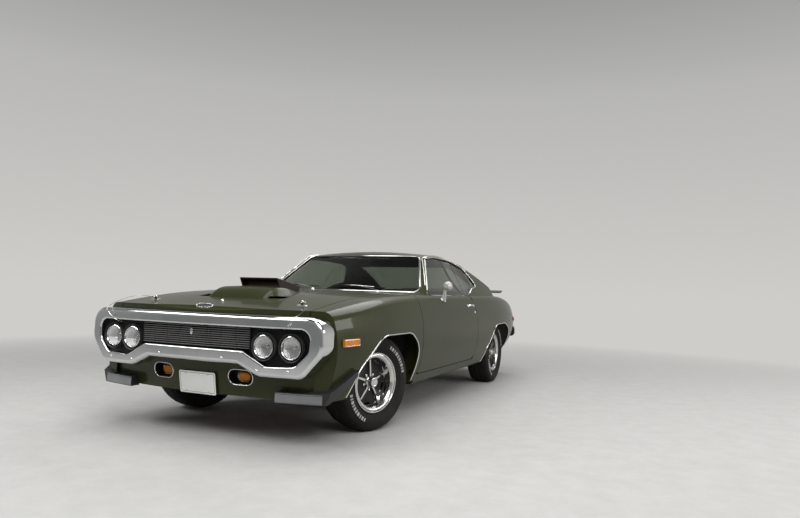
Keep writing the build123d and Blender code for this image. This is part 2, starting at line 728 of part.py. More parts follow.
def rim(x, y, out):
    """A five-spoke wheel; out is +1 or -1, the way its open face points."""
    half, neck = RIM_W / 2, RIM_R - RIM_WALL
    section = [
        (-half, RIM_LIP_R), (-half + RIM_LIP, RIM_LIP_R), (-half + RIM_LIP, RIM_R), (half - RIM_LIP, RIM_R),
        (half - RIM_LIP, RIM_LIP_R), (half, RIM_LIP_R), (half, RIM_LIP_R - 6), (half - 30, neck + 4),
        (0, neck), (-half, RIM_R - 6),
    ]
    barrel = turned([(x + out * u, r) for u, r in section], y, TYRE_R)
    bore = SPINDLE_R + RUNNING_FIT
    dish = [(DISH_BACK, bore), (SPOKE_OUT, bore), (SPOKE_OUT, HUB_R), (SPOKE_OUT - 22, HUB_R + 8),
            (DISH_BACK + 4, neck + 2), (DISH_BACK - 4, neck + 2), (DISH_BACK, HUB_R + 18)]
    envelope = [(DISH_BACK + 2, 0), (SPOKE_OUT - 1, 0), (SPOKE_OUT - 1, HUB_R + 20),
                (SPOKE_OUT - 12, neck + 3), (DISH_BACK + 2, neck + 3)]
    disc = turned([(x + out * u, r) for u, r in dish], y, TYRE_R)
    crest = turned([(x + out * u, r) for u, r in envelope], y, TYRE_R)
    middle = x + out * SPOKE_OUT
    spoke = [(-7, 36), (7, 36), (6, 146), (17, neck + 3), (-17, neck + 3), (-6, 146)]
    ridge = bar("x", spoke, middle - 60, middle + 60)
    window = bar("x", [(-38, 146, 8), (38, 146, 8), (30, 165, 6), (-30, 165, 6)], middle - 60, middle + 60)
    for i in range(SPOKES):
        turn = Location((0, y, TYRE_R), (1, 0, 0), i * 360 / SPOKES)
        half_turn = Location((0, y, TYRE_R), (1, 0, 0), (i + 0.5) * 360 / SPOKES)
        disc = disc - window.moved(half_turn)
        disc = fused(disc, ridge.moved(turn) & crest)
    return fused(barrel, disc)


def steered(shape, side):
    """A front wheel's piece, turned about its steering axis as the car is parked."""
    axis = Axis((side * STEER_AXIS_X, FRONT_AXLE_Y, 0), (0, 0, 1))
    return shape.rotate(axis, -STEER_AT_REST)


def knuckle(side):
    """Upright, spindle, brake disc and hub flange of a front wheel."""
    x, wheel_x = side * STEER_AXIS_X, side * FRONT_TRACK / 2
    upright = rod("z", x, FRONT_AXLE_Y, 26, 205, 475)
    spindle = rod("x", FRONT_AXLE_Y, TYRE_R, SPINDLE_R, x, wheel_x + side * SPOKE_OUT)
    disc = rod("x", FRONT_AXLE_Y, TYRE_R, 135, x + side * 32, x + side * 54)
    flange = rod("x", FRONT_AXLE_Y, TYRE_R, 56, x + side * 54, wheel_x + side * (DISH_BACK - MOVING_GAP))
    return steered(fused(upright, spindle, disc, flange), side)


def rear_axle():
    """Axle with its differential, drums, leaf springs and propeller shaft."""
    wheel_x = REAR_TRACK / 2
    half = [(wheel_x + SPOKE_OUT, SPINDLE_R), (wheel_x - 30, SPINDLE_R), (wheel_x - 30, 138),
            (wheel_x - 88, 138), (wheel_x - 88, 40), (150, 40), (70, 116), (0, 122)]
    axle = turned([(-wheel_x - SPOKE_OUT, 0), *((-x, r) for x, r in half[:-1]), *reversed(half),
                   (wheel_x + SPOKE_OUT, 0)], REAR_AXLE_Y, TYRE_R)
    shaft = rod("y", 0, TYRE_R, 38, GEARBOX_REAR_Y + SEAT_GAP, REAR_AXLE_Y - 60)
    springs = []
    front, rear = REAR_AXLE_Y - SPRING_REACH, REAR_AXLE_Y + SPRING_REACH
    hanger = [(front, 330), (front + 50, 330), (front + 50, floor_z(front + 50) - SEAT_GAP),
              (front, floor_z(front) - SEAT_GAP)]
    for x in (-SPRING_X, SPRING_X):
        curve = [(front, 325), (REAR_AXLE_Y, 262), (rear, 325)]
        springs.append(bar("x", curve + [(y, z + 30) for y, z in reversed(curve)], x - 30, x + 30))
        springs.append(box(x - 38, x + 38, REAR_AXLE_Y - 60, REAR_AXLE_Y + 60, 285, 340))
        springs.append(bar("x", hanger, x - 22, x + 22))
        springs.append(box(x - 22, x + 22, rear - 24, rear, 330, TRUNK_FLOOR_Z - SEAT_GAP))
    return fused(axle, shaft, *springs)


def floor_z(y):
    """Height of the floor's underside."""
    for (y0, z0), (y1, z1) in zip(FLOOR_LINE, FLOOR_LINE[1:]):
        if y0 <= y <= y1:
            return z0 + (y - y0) / (y1 - y0) * (z1 - z0)
    return TRUNK_FLOOR_Z


def floor_pan():
    """Firewall, cabin floor with its tunnel, trunk floor and the rear wheel wells."""
    half = ROCKER_INNER_X - SEAT_GAP
    line = FLOOR_LINE
    sheet = bar("x", line + [(y, z + FLOOR_SHEET) for y, z in reversed(line)], -half, half)
    narrow = box(-2000, -TAIL_HALF + 60, 1500, 3000, 0, 900) + box(TAIL_HALF - 60, 2000, 1500, 3000, 0, 900)
    tunnel = [(-TUNNEL_HALF, 200), (-TUNNEL_HALF, TUNNEL_Z, 60),
              (TUNNEL_HALF, TUNNEL_Z, 60), (TUNNEL_HALF, 200)]
    inner = [(u * 0.95, z if z < 300 else z - FLOOR_SHEET, *r) for u, z, *r in tunnel]
    hollow = bar("y", inner, FIREWALL_Y - 100, REAR_AXLE_Y)
    cover = bar("y", tunnel, FIREWALL_Y + 60, 830) & box(-200, 200, -2000, 2000, FLOOR_Z, 600)
    above = bar("x", line + [(TAIL_Y, 1200), (FIREWALL_Y, 1200)], -half, half)
    wells = []
    spaces = []
    for side in (-1, 1):
        low, high = sorted((side * WELL_X, side * 985))
        whole = rod("x", REAR_AXLE_Y, TYRE_R, WELL_R + FLOOR_SHEET, low, high)
        low, high = sorted((side * (WELL_X + FLOOR_SHEET), side * 1100))
        space = rod("x", REAR_AXLE_Y, TYRE_R, WELL_R, low, high)
        space = space + box(low, high, REAR_AXLE_Y - WELL_R, REAR_AXLE_Y + WELL_R, 0, TYRE_R)
        space = space + rod("x", REAR_AXLE_Y, TYRE_R, 150, *sorted((side * (WELL_X - 20), side * 900)))
        skirt = box(*sorted((side * WELL_X, side * 985)), REAR_AXLE_Y - WELL_R - FLOOR_SHEET,
                    REAR_AXLE_Y + WELL_R + FLOOR_SHEET, TYRE_R, TYRE_R + 1)
        wells.append((whole + skirt) & box(-1100, 1100, 0, TAIL_Y, TYRE_R, 1200) & hull(SKIN + SEAT_GAP))
        spaces.append(space)
    pan = fused(sheet - narrow, cover & above, *wells)
    return largest(pan - hollow - spaces[0] - spaces[1])


def front_structure():
    """Frame rails with their cross member, radiator support and the inner aprons."""
    nose = SUPPORT_Y
    rail = box(370, RAIL_OUT_X, nose, FIREWALL_Y - SEAT_GAP, 330, 430)
    apron_line = [(RAIL_OUT_X, 430), (RAIL_OUT_X, 745), (690, 800), (690, 806), (RAIL_OUT_X - 6, 749),
                  (RAIL_OUT_X - 6, 430)]
    apron = bar("y", apron_line, nose, FIREWALL_Y - 8)
    leg = box(320, RAIL_OUT_X, FRONT_AXLE_Y - 50, FRONT_AXLE_Y + 50, 215, 330)
    left = fused(rail, apron & box(0, 1100, NOSE_Y, 0, 430, 1000), leg)
    cross = box(-RAIL_OUT_X, RAIL_OUT_X, FRONT_AXLE_Y - 50, FRONT_AXLE_Y + 50, 205, 262)
    support = box(-RAIL_OUT_X, RAIL_OUT_X, nose, nose + 30, 330, 790)
    support = support - box(-340, 340, NOSE_Y, 0, 400, 730)
    posts = []
    for side in (-1, 1):
        x = side * HOOD_PIN_X
        reach = sorted((side * (RAIL_OUT_X - 60), x + side * 30))
        posts.append(box(*reach, SUPPORT_Y, HOOD_PIN_Y + 24, 740, 760))
        posts.append(rod("z", x, HOOD_PIN_Y, HOOD_PIN_R, 750, HOOD_PIN_TOP_Z))
        posts.append(rod("z", x, HOOD_PIN_Y, HOOD_REST_R, 750, 950) & hull(SKIN + SEAT_GAP))
    return fused(left, other_side(left), cross, support, *posts)


def radiator():
    return box(-350, 350, SUPPORT_Y + 30 + SEAT_GAP, SUPPORT_Y + 94, 405, 725)


def control_arms():
    """Lower arms and steering links, from the frame to the uprights."""
    reach = STEER_AXIS_X - 26 - SEAT_GAP
    pieces = []
    for y, z, r in ((FRONT_AXLE_Y, 235, 20), (FRONT_AXLE_Y, 452, 14)):
        pieces.append(strut((RAIL_OUT_X + SEAT_GAP + (0 if z < 330 else 6), y, z), (reach, y, z), r))
    return both_sides(group(*pieces))


def engine():
    """Engine with its gearbox, as one plain block."""
    block = box(-250, 250, NOSE_Y + 470, FIREWALL_Y - 400, ENGINE_BASE_Z, 760)
    gearbox = box(-100, 100, FIREWALL_Y - 400, GEARBOX_REAR_Y, ENGINE_BASE_Z, 420)
    return fused(block, gearbox)


def dashboard():
    outline = [(-870, 640), (-870, 860), (-680, 925, 40), (-585, 905, 30), (-560, 850, 20), (-610, 660, 30)]
    return bar("x", outline, -790, 790)


def steering_wheel():
    """Column and wheel in front of the driver."""
    low, high = Vector(DRIVER_X, -606, 735), Vector(DRIVER_X, -405, 815)
    lean = (high - low).normalized()
    column = Solid.make_cylinder(24, (high - low).length, Plane(low + lean * 8, z_dir=lean))
    plane = Plane(high, x_dir=(1, 0, 0), z_dir=lean)
    ring = Solid.make_torus(185, 11, plane)
    spokes = [Solid.make_box(360, 26, 8, Plane(high - lean * 4 - plane.x_dir * 180 - plane.y_dir * 13,
                                              x_dir=plane.x_dir, z_dir=lean))]
    return fused(column - dashboard(), ring, *spokes)


def seat(x, y, half):
    """A bucket seat on its runners."""
    runner_top = FLOOR_Z + 76
    cushion = [(y - 270, runner_top, 40), (y - 270, runner_top + 130, 50), (y + 190, runner_top + 110),
               (y + 330, runner_top + 560, 50), (y + 450, runner_top + 530, 50), (y + 290, runner_top, 50)]
    body = bar("x", cushion, x - half, x + half)
    low = FLOOR_Z + FLOOR_SHEET + SEAT_GAP
    runners = [box(middle - 20, middle + 20, y - 200, y + 220, low, runner_top + 5)
               for middle in (x - 180, x + 180)]
    return fused(body, *runners)


def front_seats():
    return both_sides(seat(DRIVER_X, -60, 225))


def rear_seat():
    cushion = [(560, 510, 30), (560, 660, 50), (930, 640), (1100, 925, 40), (1190, 915, 30), (1060, 540),
               (720, 540), (700, 510)]
    return bar("x", cushion, -600, 600)


def package_tray():
    """Shelf behind the rear seat."""
    return box(-600, 600, 1194, 1560, 915, 927)


def fuel_tank():
    return box(-420, 420, 1800, 2250, 330, TRUNK_FLOOR_Z - SEAT_GAP)


def exhaust():
    """Two pipes with their silencers and rear tips."""
    pipe = rod("y", 300, 215, 28, -1150, TAIL_Y - 160)
    top = FLOOR_Z - SEAT_GAP
    silencer = bar("y", [(215, top - 98, 40), (215, top, 40), (385, top, 40), (385, top - 98, 40)], -80, 420)
    return both_sides(fused(pipe, silencer))


def rear_bumper():
    """Rear bumper bar on two brackets."""
    band = bowed(NOSE_Y, NOSE_Y + 55, 90, 90).mirror(Plane.XZ)
    outline = [(-855, 590, 50), (855, 590, 50), (855, 455, 50), (-855, 455, 50)]
    blade = largest(band & bar("y", outline, 2000, TAIL_Y + 50))
    blade = blade.fillet(REAR_BUMPER_R, blade.faces().sort_by(Axis.Y)[-1].outer_wire().edges())
    brackets = [box(x - 40, x + 40, TAIL_Y - 200, TAIL_Y - 40, 500, 545) for x in (-400, 400)]
    space = body_space(-SEAT_GAP)
    return fused(blade, *brackets) - space - other_side(space)


def tail_lamps():
    """Wide lamps on the tail panel, three lenses on each side."""
    band = body_space(-LENS_DEPTH) - body_space(-SEAT_GAP)
    lenses = [largest(band & box(x, x + 126, 2300, 3000, 640, 735)) for x in (250, 386, 522)]
    return both_sides(group(*lenses))


def marker_lamps():
    """Amber lamps on the fenders and red ones on the quarters."""
    band = hull(-LENS_DEPTH) - hull(-SEAT_GAP)
    lamps = [band & box(800, 1100, y - 82, y + 82, z - 22, z + 22) for y, z in ((-2232, 652), (2160, 690))]
    return both_sides(group(*lamps))


def scoop_lid():
    """Air scoop, raised at its front, with its side plates."""
    y, z = SCOOP_HINGE_Y, SCOOP_HINGE_Z
    wedge = [(y, z), (SCOOP_FRONT_Y, z + SCOOP_RISE), (SCOOP_FRONT_Y + 44, z - 26), (y - 30, z - 42),
             (y - 4, z - 8)]
    slope = SCOOP_RISE / (y - SCOOP_FRONT_Y)
    under = [(y - 60, z - SKIN + 60 * slope), (y - 400, z - SKIN + 400 * slope), (y - 400, z - 200),
             (y - 60, z - 200)]
    inner = SCOOP_HALF - SKIN
    bore = rod("x", SCOOP_PIN_Y, SCOOP_PIN_Z, SCOOP_PIN_R + RUNNING_FIT, -200, 200)
    return bar("x", wedge, -SCOOP_HALF, SCOOP_HALF) - bar("x", under, -inner, inner) - bore


def mirror_head():
    """A tapered mirror head on its foot."""
    sections = []
    for y, shrink in ((-490, 0), (-528, 5), (-552, 20)):
        low_x, high_x, low_z, high_z = (925 + shrink, 1001 - shrink, 1000 + shrink, 1078 - shrink)
        face = Face(Wire.make_polygon([Vector(low_x, y, low_z), Vector(high_x, y, low_z),
                                       Vector(high_x, y, high_z), Vector(low_x, y, high_z)]))
        sections.append(face.fillet_2d(34 - shrink, face.vertices()))
    foot = bar("y", [(905, 900), (950, 900), (950, 990, 8), (968, 1012), (940, 1012)], -532, -504)
    return fused(lofted(sections), largest(foot - hull(-SEAT_GAP)))


def rear_wing():
    """A thin wing on two tapered posts over the decklid."""
    section = [(2252, 1004, 5), (2262, 1016, 8), (2384, 1040, 3), (2386, 1030, 2), (2300, 1006, 60)]
    plank = bar("x", section, -WING_HALF, WING_HALF)
    space = hull(-SEAT_GAP)
    post = [(2275, 880), (2278, 1011), (2350, 1024), (2385, 880)]
    posts = [bar("x", post, x - 9, x + 9) - space for x in (-WING_POST_X, WING_POST_X)]
    return fused(plank, *(largest(post) for post in posts))


def chin_spoilers():
    """Blades under the valance that wrap round the corners and rise to the wheel openings."""
    low, high = CHIN_LOW_Z, CHIN_FRONT_Z
    reach = BUMPER_DEPTH + NOSE_GAP - CHIN_THICK
    front = leaning((low, reach, valance_depth(low) - SEAT_GAP),
                    (high, reach, valance_depth(high) - SEAT_GAP), CHIN_INNER_X, VALANCE_HALF)
    around = body_space(-CHIN_THICK) - body_space(-SEAT_GAP)
    profile = [(NOSE_Y, low), (NOSE_Y, high), (-2425, high, 200), (CHIN_REAR_Y, 481), (CHIN_REAR_Y, 436),
               (-2374, low)]
    side = bar("x", profile, VALANCE_HALF - 16, 1100)
    return both_sides(largest(fused(front, around & side)))


NODES = {
    "roof": roof,
    "fenders": fenders,
    "cowl_panel": cowl_panel,
    "quarter_panels": quarters,
    "rear_deck_panel": rear_deck_panel,
    "tail_panel": tail_panel,
    "rockers": rockers,
    "floor_pan": floor_pan,
    "front_structure": front_structure,
    "radiator": radiator,
    "front_bumper": front_bumper,
    "grille": grille,
    "headlamps": headlamps,
    "front_valance": front_valance,
    "turn_lamps": turn_lamps,
    "chin_spoilers": chin_spoilers,
    "windshield": windshield,
    "backlight": backlight,
    "quarter_glass": quarter_glass,
    "dashboard": dashboard,
    "steering_wheel": steering_wheel,
    "front_seats": front_seats,
    "rear_seat": rear_seat,
    "package_tray": package_tray,
    "engine": engine,
    "control_arms": control_arms,
    "rear_axle": rear_axle,
    "exhaust": exhaust,
    "fuel_tank": fuel_tank,
    "rear_bumper": rear_bumper,
    "tail_lamps": tail_lamps,
    "marker_lamps": marker_lamps,
    "door_left": door,
    "door_right": lambda: other_side(door()),
    "door_glass_left": door_glass,
    "door_glass_right": lambda: other_side(door_glass()),
    "mirror_left": mirror_head,
    "mirror_right": lambda: other_side(mirror_head()),
    "hood": hood,
    "scoop_lid": scoop_lid,
    "decklid": decklid,
    "rear_wing": rear_wing,
    "knuckle_left": lambda: knuckle(1),
    "knuckle_right": lambda: knuckle(-1),
    "tyre_front_left": lambda: steered(tyre(FRONT_TRACK / 2, FRONT_AXLE_Y), 1),
    "rim_front_left": lambda: steered(rim(FRONT_TRACK / 2, FRONT_AXLE_Y, 1), 1),
    "tyre_front_right": lambda: steered(tyre(-FRONT_TRACK / 2, FRONT_AXLE_Y), -1),
    "rim_front_right": lambda: steered(rim(-FRONT_TRACK / 2, FRONT_AXLE_Y, -1), -1),
    "tyre_rear_left": lambda: tyre(REAR_TRACK / 2, REAR_AXLE_Y),
    "rim_rear_left": lambda: rim(REAR_TRACK / 2, REAR_AXLE_Y, 1),
    "tyre_rear_right": lambda: tyre(-REAR_TRACK / 2, REAR_AXLE_Y),
    "rim_rear_right": lambda: rim(-REAR_TRACK / 2, REAR_AXLE_Y, -1),
}

if __name__ == "__main__":
    os.makedirs("parts", exist_ok=True)
    for name, make in NODES.items():
        export_step(make(), f"parts/{name}.step")
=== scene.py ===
"""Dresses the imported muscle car: paint, chrome, glass, lamps, tyres, trim, seats, floor, light and camera.

Metres. The nose points along -Y, the car's left side along +X and Z is up, as in the frame.
"""
from math import cos, pi, radians, sin, sqrt

import bpy
from mathutils import Matrix, Vector
from mathutils.bvhtree import BVHTree


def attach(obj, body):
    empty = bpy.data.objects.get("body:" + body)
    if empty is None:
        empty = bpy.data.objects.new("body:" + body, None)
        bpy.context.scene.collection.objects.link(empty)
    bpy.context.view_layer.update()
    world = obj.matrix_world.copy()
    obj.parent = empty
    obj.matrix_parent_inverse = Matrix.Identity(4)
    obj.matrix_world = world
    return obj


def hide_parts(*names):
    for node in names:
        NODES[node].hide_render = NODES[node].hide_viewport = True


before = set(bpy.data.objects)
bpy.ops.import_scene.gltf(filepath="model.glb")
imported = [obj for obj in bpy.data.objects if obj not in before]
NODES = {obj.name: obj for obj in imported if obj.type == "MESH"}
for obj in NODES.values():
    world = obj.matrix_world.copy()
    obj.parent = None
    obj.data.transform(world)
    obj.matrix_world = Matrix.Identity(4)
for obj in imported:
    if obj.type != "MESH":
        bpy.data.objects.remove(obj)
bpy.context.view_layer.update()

# Places and sizes that the trim follows
NOSE_Y = -2.5805
TAIL_Y = 2.5805
FRONT_AXLE_Y = -1.61
REAR_AXLE_Y = 1.311
WHEEL_Z = 0.335
TYRE_R = 0.335
SPOKE_OUT = 0.048
DISH_EDGE = 0.026
STEER_X = 0.69
STEER_AT_REST = radians(-17)
LAMP_X = (0.525, 0.707)
LAMP_Z = 0.622
SEAT_X = 0.37

# Wheels: name, middle across the car and along it, angle at rest
WHEELS = [
    ("front_left", 0.7635, FRONT_AXLE_Y, STEER_AT_REST),
    ("front_right", -0.7635, FRONT_AXLE_Y, STEER_AT_REST),
    ("rear_left", 0.7875, REAR_AXLE_Y, 0.0),
    ("rear_right", -0.7875, REAR_AXLE_Y, 0.0),
]


# Shader nodes

def put(tree, kind, values=None, **settings):
    """A node with its settings, and its inputs set or linked."""
    node = tree.nodes.new(kind)
    for name, value in settings.items():
        setattr(node, name, value)
    for socket, value in (values or {}).items():
        if isinstance(value, bpy.types.NodeSocket):
            tree.links.new(value, node.inputs[socket])
        else:
            node.inputs[socket].default_value = value
    return node


def calc(tree, operation, *values, **settings):
    """The result of a maths node."""
    return put(tree, "ShaderNodeMath", dict(enumerate(values)), operation=operation, **settings).outputs[0]


def place_on(tree):
    """The place on the piece, in metres."""
    return tree.nodes.new("ShaderNodeTexCoord").outputs["Object"]


def part_of(tree, vector, axis):
    """One part of a vector."""
    return put(tree, "ShaderNodeSeparateXYZ", {"Vector": vector}).outputs[axis]


def noise(tree, scale, detail, roughness=0.55):
    """Cloudy values over the piece."""
    return put(tree, "ShaderNodeTexNoise", {
        "Vector": place_on(tree), "Scale": scale, "Detail": detail, "Roughness": roughness}).outputs["Fac"]


def ramp(tree, value, low, high, out_low=0.0, out_high=1.0):
    """A value brought from one range to another and held within it."""
    values = {"Value": value, "From Min": low, "From Max": high, "To Min": out_low, "To Max": out_high}
    return put(tree, "ShaderNodeMapRange", values).outputs["Result"]


def mixed(tree, share, first, second):
    """Two colours mixed."""
    return put(tree, "ShaderNodeMix", {0: share, 6: first, 7: second}, data_type="RGBA").outputs[2]


def send(tree, sockets, results):
    """Links each result to the socket of its name."""
    for name, result in results.items():
        tree.links.new(result, sockets[name])


def node_group(name, inputs, outputs):
    """An empty group; returns it with the sockets that its nodes read from and write to."""
    tree = bpy.data.node_groups.new(name, "ShaderNodeTree")
    for socket, value in inputs.items():
        kind = "NodeSocketColor" if isinstance(value, tuple) else "NodeSocketFloat"
        tree.interface.new_socket(socket, in_out="INPUT", socket_type=kind).default_value = value
    for socket in outputs:
        kind = "NodeSocketColor" if socket == "Colour" else "NodeSocketFloat"
        tree.interface.new_socket(socket, in_out="OUTPUT", socket_type=kind)
    return tree, tree.nodes.new("NodeGroupInput").outputs, tree.nodes.new("NodeGroupOutput").inputs


def make_patina():
    """Slow changes of colour and gloss over a surface, and fine grain for its bump."""
    tree, given, out = node_group("Patina", {
        "Colour": (0.5, 0.5, 0.5, 1), "Second Colour": (0.4, 0.4, 0.4, 1), "Patch Scale": 3.0,
        "Grain Scale": 400.0, "Roughness": 0.3, "Roughness Spread": 0.1}, ["Colour", "Roughness", "Grain"])
    patch = noise(tree, given["Patch Scale"], 4.0)
    spread = calc(tree, "MULTIPLY", ramp(tree, patch, 0.3, 0.7, -0.5, 0.5), given["Roughness Spread"])
    send(tree, out, {
        "Colour": mixed(tree, ramp(tree, patch, 0.35, 0.65), given["Colour"], given["Second Colour"]),
        "Roughness": calc(tree, "ADD", given["Roughness"], spread),
        "Grain": noise(tree, given["Grain Scale"], 2.0)})
    return tree


def make_flake():
    """Metal flake in paint: tiny cells of lighter and darker colour."""
    tree, given, out = node_group("Metal Flake", {
        "Colour": (0.1, 0.1, 0.05, 1), "Flake Colour": (0.3, 0.3, 0.2, 1), "Scale": 900.0,
        "Amount": 0.4}, ["Colour"])
    cells = put(tree, "ShaderNodeTexVoronoi", {"Vector": place_on(tree), "Scale": given["Scale"]})
    value = put(tree, "ShaderNodeSeparateColor", {"Color": cells.outputs["Color"]}).outputs[0]
    share = calc(tree, "MULTIPLY", ramp(tree, value, 0.55, 1.0), given["Amount"])
    send(tree, out, {"Colour": mixed(tree, share, given["Colour"], given["Flake Colour"])})
    return tree


def make_road_dust():
    """Dust that thins out with height over the floor."""
    tree, given, out = node_group("Road Dust", {
        "Colour": (0.1, 0.1, 0.1, 1), "Dust Colour": (0.2, 0.17, 0.13, 1), "Reach": 0.5, "Amount": 0.3,
        "Roughness": 0.4}, ["Colour", "Roughness"])
    low = ramp(tree, part_of(tree, place_on(tree), "Z"), given["Reach"], 0.05)
    cloud = ramp(tree, noise(tree, 9.0, 6.0, 0.65), 0.35, 0.75)
    share = calc(tree, "MULTIPLY", calc(tree, "MULTIPLY", low, cloud), given["Amount"], use_clamp=True)
    send(tree, out, {
        "Colour": mixed(tree, share, given["Colour"], given["Dust Colour"]),
        "Roughness": calc(tree, "MULTIPLY_ADD", share, 0.5, given["Roughness"])})
    return tree


def make_vinyl():
    """Grain of moulded vinyl: small cells with soft valleys between them."""
    tree, given, out = node_group("Vinyl Grain", {"Scale": 500.0}, ["Height"])
    cells = put(tree, "ShaderNodeTexVoronoi", {"Vector": place_on(tree), "Scale": given["Scale"]},
                feature="DISTANCE_TO_EDGE")
    send(tree, out, {"Height": ramp(tree, cells.outputs["Distance"], 0.0, 0.25)})
    return tree


def make_flutes():
    """Upright ribs on lamp glass, crossed by a few level ones."""
    tree, given, out = node_group("Lens Flutes", {"Upright Scale": 110.0, "Level Scale": 45.0}, ["Height"])
    where = place_on(tree)
    waves = [calc(tree, "PINGPONG", calc(tree, "MULTIPLY", part_of(tree, where, axis), given[scale]), 0.5)
             for axis, scale in (("X", "Upright Scale"), ("Z", "Level Scale"))]
    send(tree, out, {"Height": calc(tree, "ADD", *waves)})
    return tree


PATINA = make_patina()
FLAKE = make_flake()
DUST = make_road_dust()
VINYL = make_vinyl()
FLUTES = make_flutes()

COAT_ROUGHNESS = 0.04
VINYL_BUMP = 0.25
BUMP_DEPTH = 0.001


def use(tree, group, values):
    """The outputs of a group put into a tree."""
    return put(tree, "ShaderNodeGroup", values, node_tree=group).outputs


def rgb(r, g, b):
    """A colour as shader sockets take it."""
    return (r, g, b, 1.0)


def finish(name, colour, second, roughness, metallic=0.0, spread=0.1, patch=3.0, grain=400.0,
           bump=0.0, coat=0.0, flake=None, dust=0.0, dust_reach=0.5, vinyl=0.0, flutes=0.0,
           transmission=0.0, ior=1.5, specular=0.5):
    """A material from the shared groups."""
    material = bpy.data.materials.new(name)
    material.use_nodes = True
    tree = material.node_tree
    shader = tree.nodes["Principled BSDF"].inputs
    base = use(tree, PATINA, {"Colour": rgb(*colour), "Second Colour": rgb(*second), "Patch Scale": patch,
                              "Grain Scale": grain, "Roughness": roughness, "Roughness Spread": spread})
    colour_out, rough_out, height = base["Colour"], base["Roughness"], base["Grain"]
    if flake:
        colour_out = use(tree, FLAKE, {"Colour": colour_out, "Flake Colour": rgb(*flake)})["Colour"]
    if dust:
        dusty = use(tree, DUST, {"Colour": colour_out, "Roughness": rough_out, "Reach": dust_reach,
                                 "Amount": dust})
        colour_out, rough_out = dusty["Colour"], dusty["Roughness"]
    send(tree, shader, {"Base Color": colour_out, "Roughness": rough_out})
    if vinyl:
        height, bump = use(tree, VINYL, {"Scale": vinyl})["Height"], VINYL_BUMP
    if flutes:
        height, bump = use(tree, FLUTES, {})["Height"], flutes
    if bump:
        bumped = put(tree, "ShaderNodeBump", {"Strength": bump, "Distance": BUMP_DEPTH, "Height": height})
        send(tree, shader, {"Normal": bumped.outputs["Normal"]})
    numbers = {"Metallic": metallic, "Coat Weight": coat, "Coat Roughness": COAT_ROUGHNESS, "IOR": ior,
               "Transmission Weight": transmission, "Specular IOR Level": specular}
    for socket, value in numbers.items():
        shader[socket].default_value = value
    return material


OLIVE = finish("olive_paint", (0.018, 0.021, 0.006), (0.025, 0.027, 0.009), 0.34, metallic=0.12,
               spread=0.04, coat=0.24, flake=(0.058, 0.062, 0.026), dust=0.08, dust_reach=0.45,
               specular=0.1)
BLACKOUT = finish("blackout_paint", (0.012, 0.012, 0.012), (0.018, 0.018, 0.017), 0.42,
                  bump=0.05, dust=0.4)
SCOOP_BROWN = finish("scoop_paint", (0.022, 0.015, 0.012), (0.015, 0.011, 0.009), 0.45,
                     coat=0.08, specular=0.25)
CHROME = finish("bumper_chrome", (0.66, 0.67, 0.67), (0.58, 0.6, 0.61), 0.07,
                metallic=1.0, spread=0.06, patch=6.0)
TRIM = finish("bright_trim", (0.74, 0.73, 0.7), (0.66, 0.66, 0.64), 0.12, metallic=1.0,
              spread=0.08, patch=20)
WHEEL_BRIGHT = finish("wheel_polish", (0.72, 0.72, 0.7), (0.6, 0.6, 0.58), 0.13,
                      metallic=1.0, patch=25.0, dust=0.25, dust_reach=0.6)
# Black enamel of the wheels' pockets; beside the trim ring it is painted shade in a gap
WHEEL_BLACK = finish("wheel_enamel_and_gap_shade", (0.006, 0.006, 0.006), (0.01, 0.01, 0.01), 0.5,
                     dust=0.06, specular=0.3)
RUBBER = finish("tyre_rubber", (0.01, 0.01, 0.01), (0.016, 0.015, 0.014), 0.7, grain=900,
                bump=0.25, dust=0.05, dust_reach=0.7, specular=0.12)
WHITE_MARK = finish("sidewall_white", (0.42, 0.41, 0.38), (0.3, 0.29, 0.27), 0.6,
                    grain=600, bump=0.15)
SPOILER = finish("spoiler_black", (0.012, 0.012, 0.013), (0.018, 0.018, 0.019), 0.4, grain=700, bump=0.15,
                 dust=0.15, specular=0.35)
# Painted light on the black chin spoilers: the grey of their lit face and of the highlight along its top
SPOILER_PAINTED_LIGHT = finish("spoiler_painted_light", (0.19, 0.195, 0.2), (0.13, 0.135, 0.14), 0.35,
                      grain=700, bump=0.1)
SCOOP_BAFFLE = finish("scoop_baffle", (0.075, 0.05, 0.038), (0.055, 0.038, 0.03), 0.6,
                      specular=0.2)
GRILLE_BLACK = finish("grille_black", (0.004, 0.004, 0.0045), (0.007, 0.007, 0.007), 0.5, specular=0.15)
GRILLE_EDGE = finish("grille_edge", (0.34, 0.34, 0.34), (0.26, 0.26, 0.26), 0.4,
                     metallic=0.4)
# Near-black of the lamp cups and gauge faces; on the cowl louvres and behind the grille it is painted shade
# in openings
BLACK_AND_PAINTED_SHADE = finish("lamp_surround", (0.006, 0.006, 0.006), (0.01, 0.01, 0.01), 0.5,
                   specular=0.2)
REFLECTOR = finish("lamp_reflector", (0.62, 0.62, 0.61), (0.52, 0.52, 0.52), 0.12,
                   metallic=1.0)
LAMP_GLASS = finish("lamp_glass", (0.86, 0.88, 0.88), (0.82, 0.84, 0.85), 0.03,
                    transmission=1.0, flutes=0.5, spread=0.02)
TINTED = finish("tinted_glass", (0.42, 0.46, 0.4), (0.4, 0.44, 0.38), 0.015, transmission=1.0,
                spread=0.01, ior=1.45)
AMBER = finish("amber_lens", (0.52, 0.17, 0.008), (0.42, 0.12, 0.006), 0.25, coat=0.15,
               flutes=0.4, specular=0.2)
RED_LENS = finish("red_lens", (0.45, 0.012, 0.008), (0.35, 0.008, 0.006), 0.12, coat=1.0,
                  flutes=0.4)
CAST_IRON = finish("cast_iron", (0.06, 0.058, 0.055), (0.09, 0.075, 0.06), 0.65, metallic=0.4, grain=250,
                   bump=0.4, dust=0.6)
ENGINE_ENAMEL = finish("engine_enamel", (0.32, 0.045, 0.015), (0.26, 0.035, 0.012), 0.4,
                       bump=0.2, dust=0.5)
UNDERBODY = finish("underbody_coat", (0.022, 0.021, 0.02), (0.04, 0.036, 0.032), 0.75,
                   grain=160, bump=0.5, dust=0.8, dust_reach=0.7)
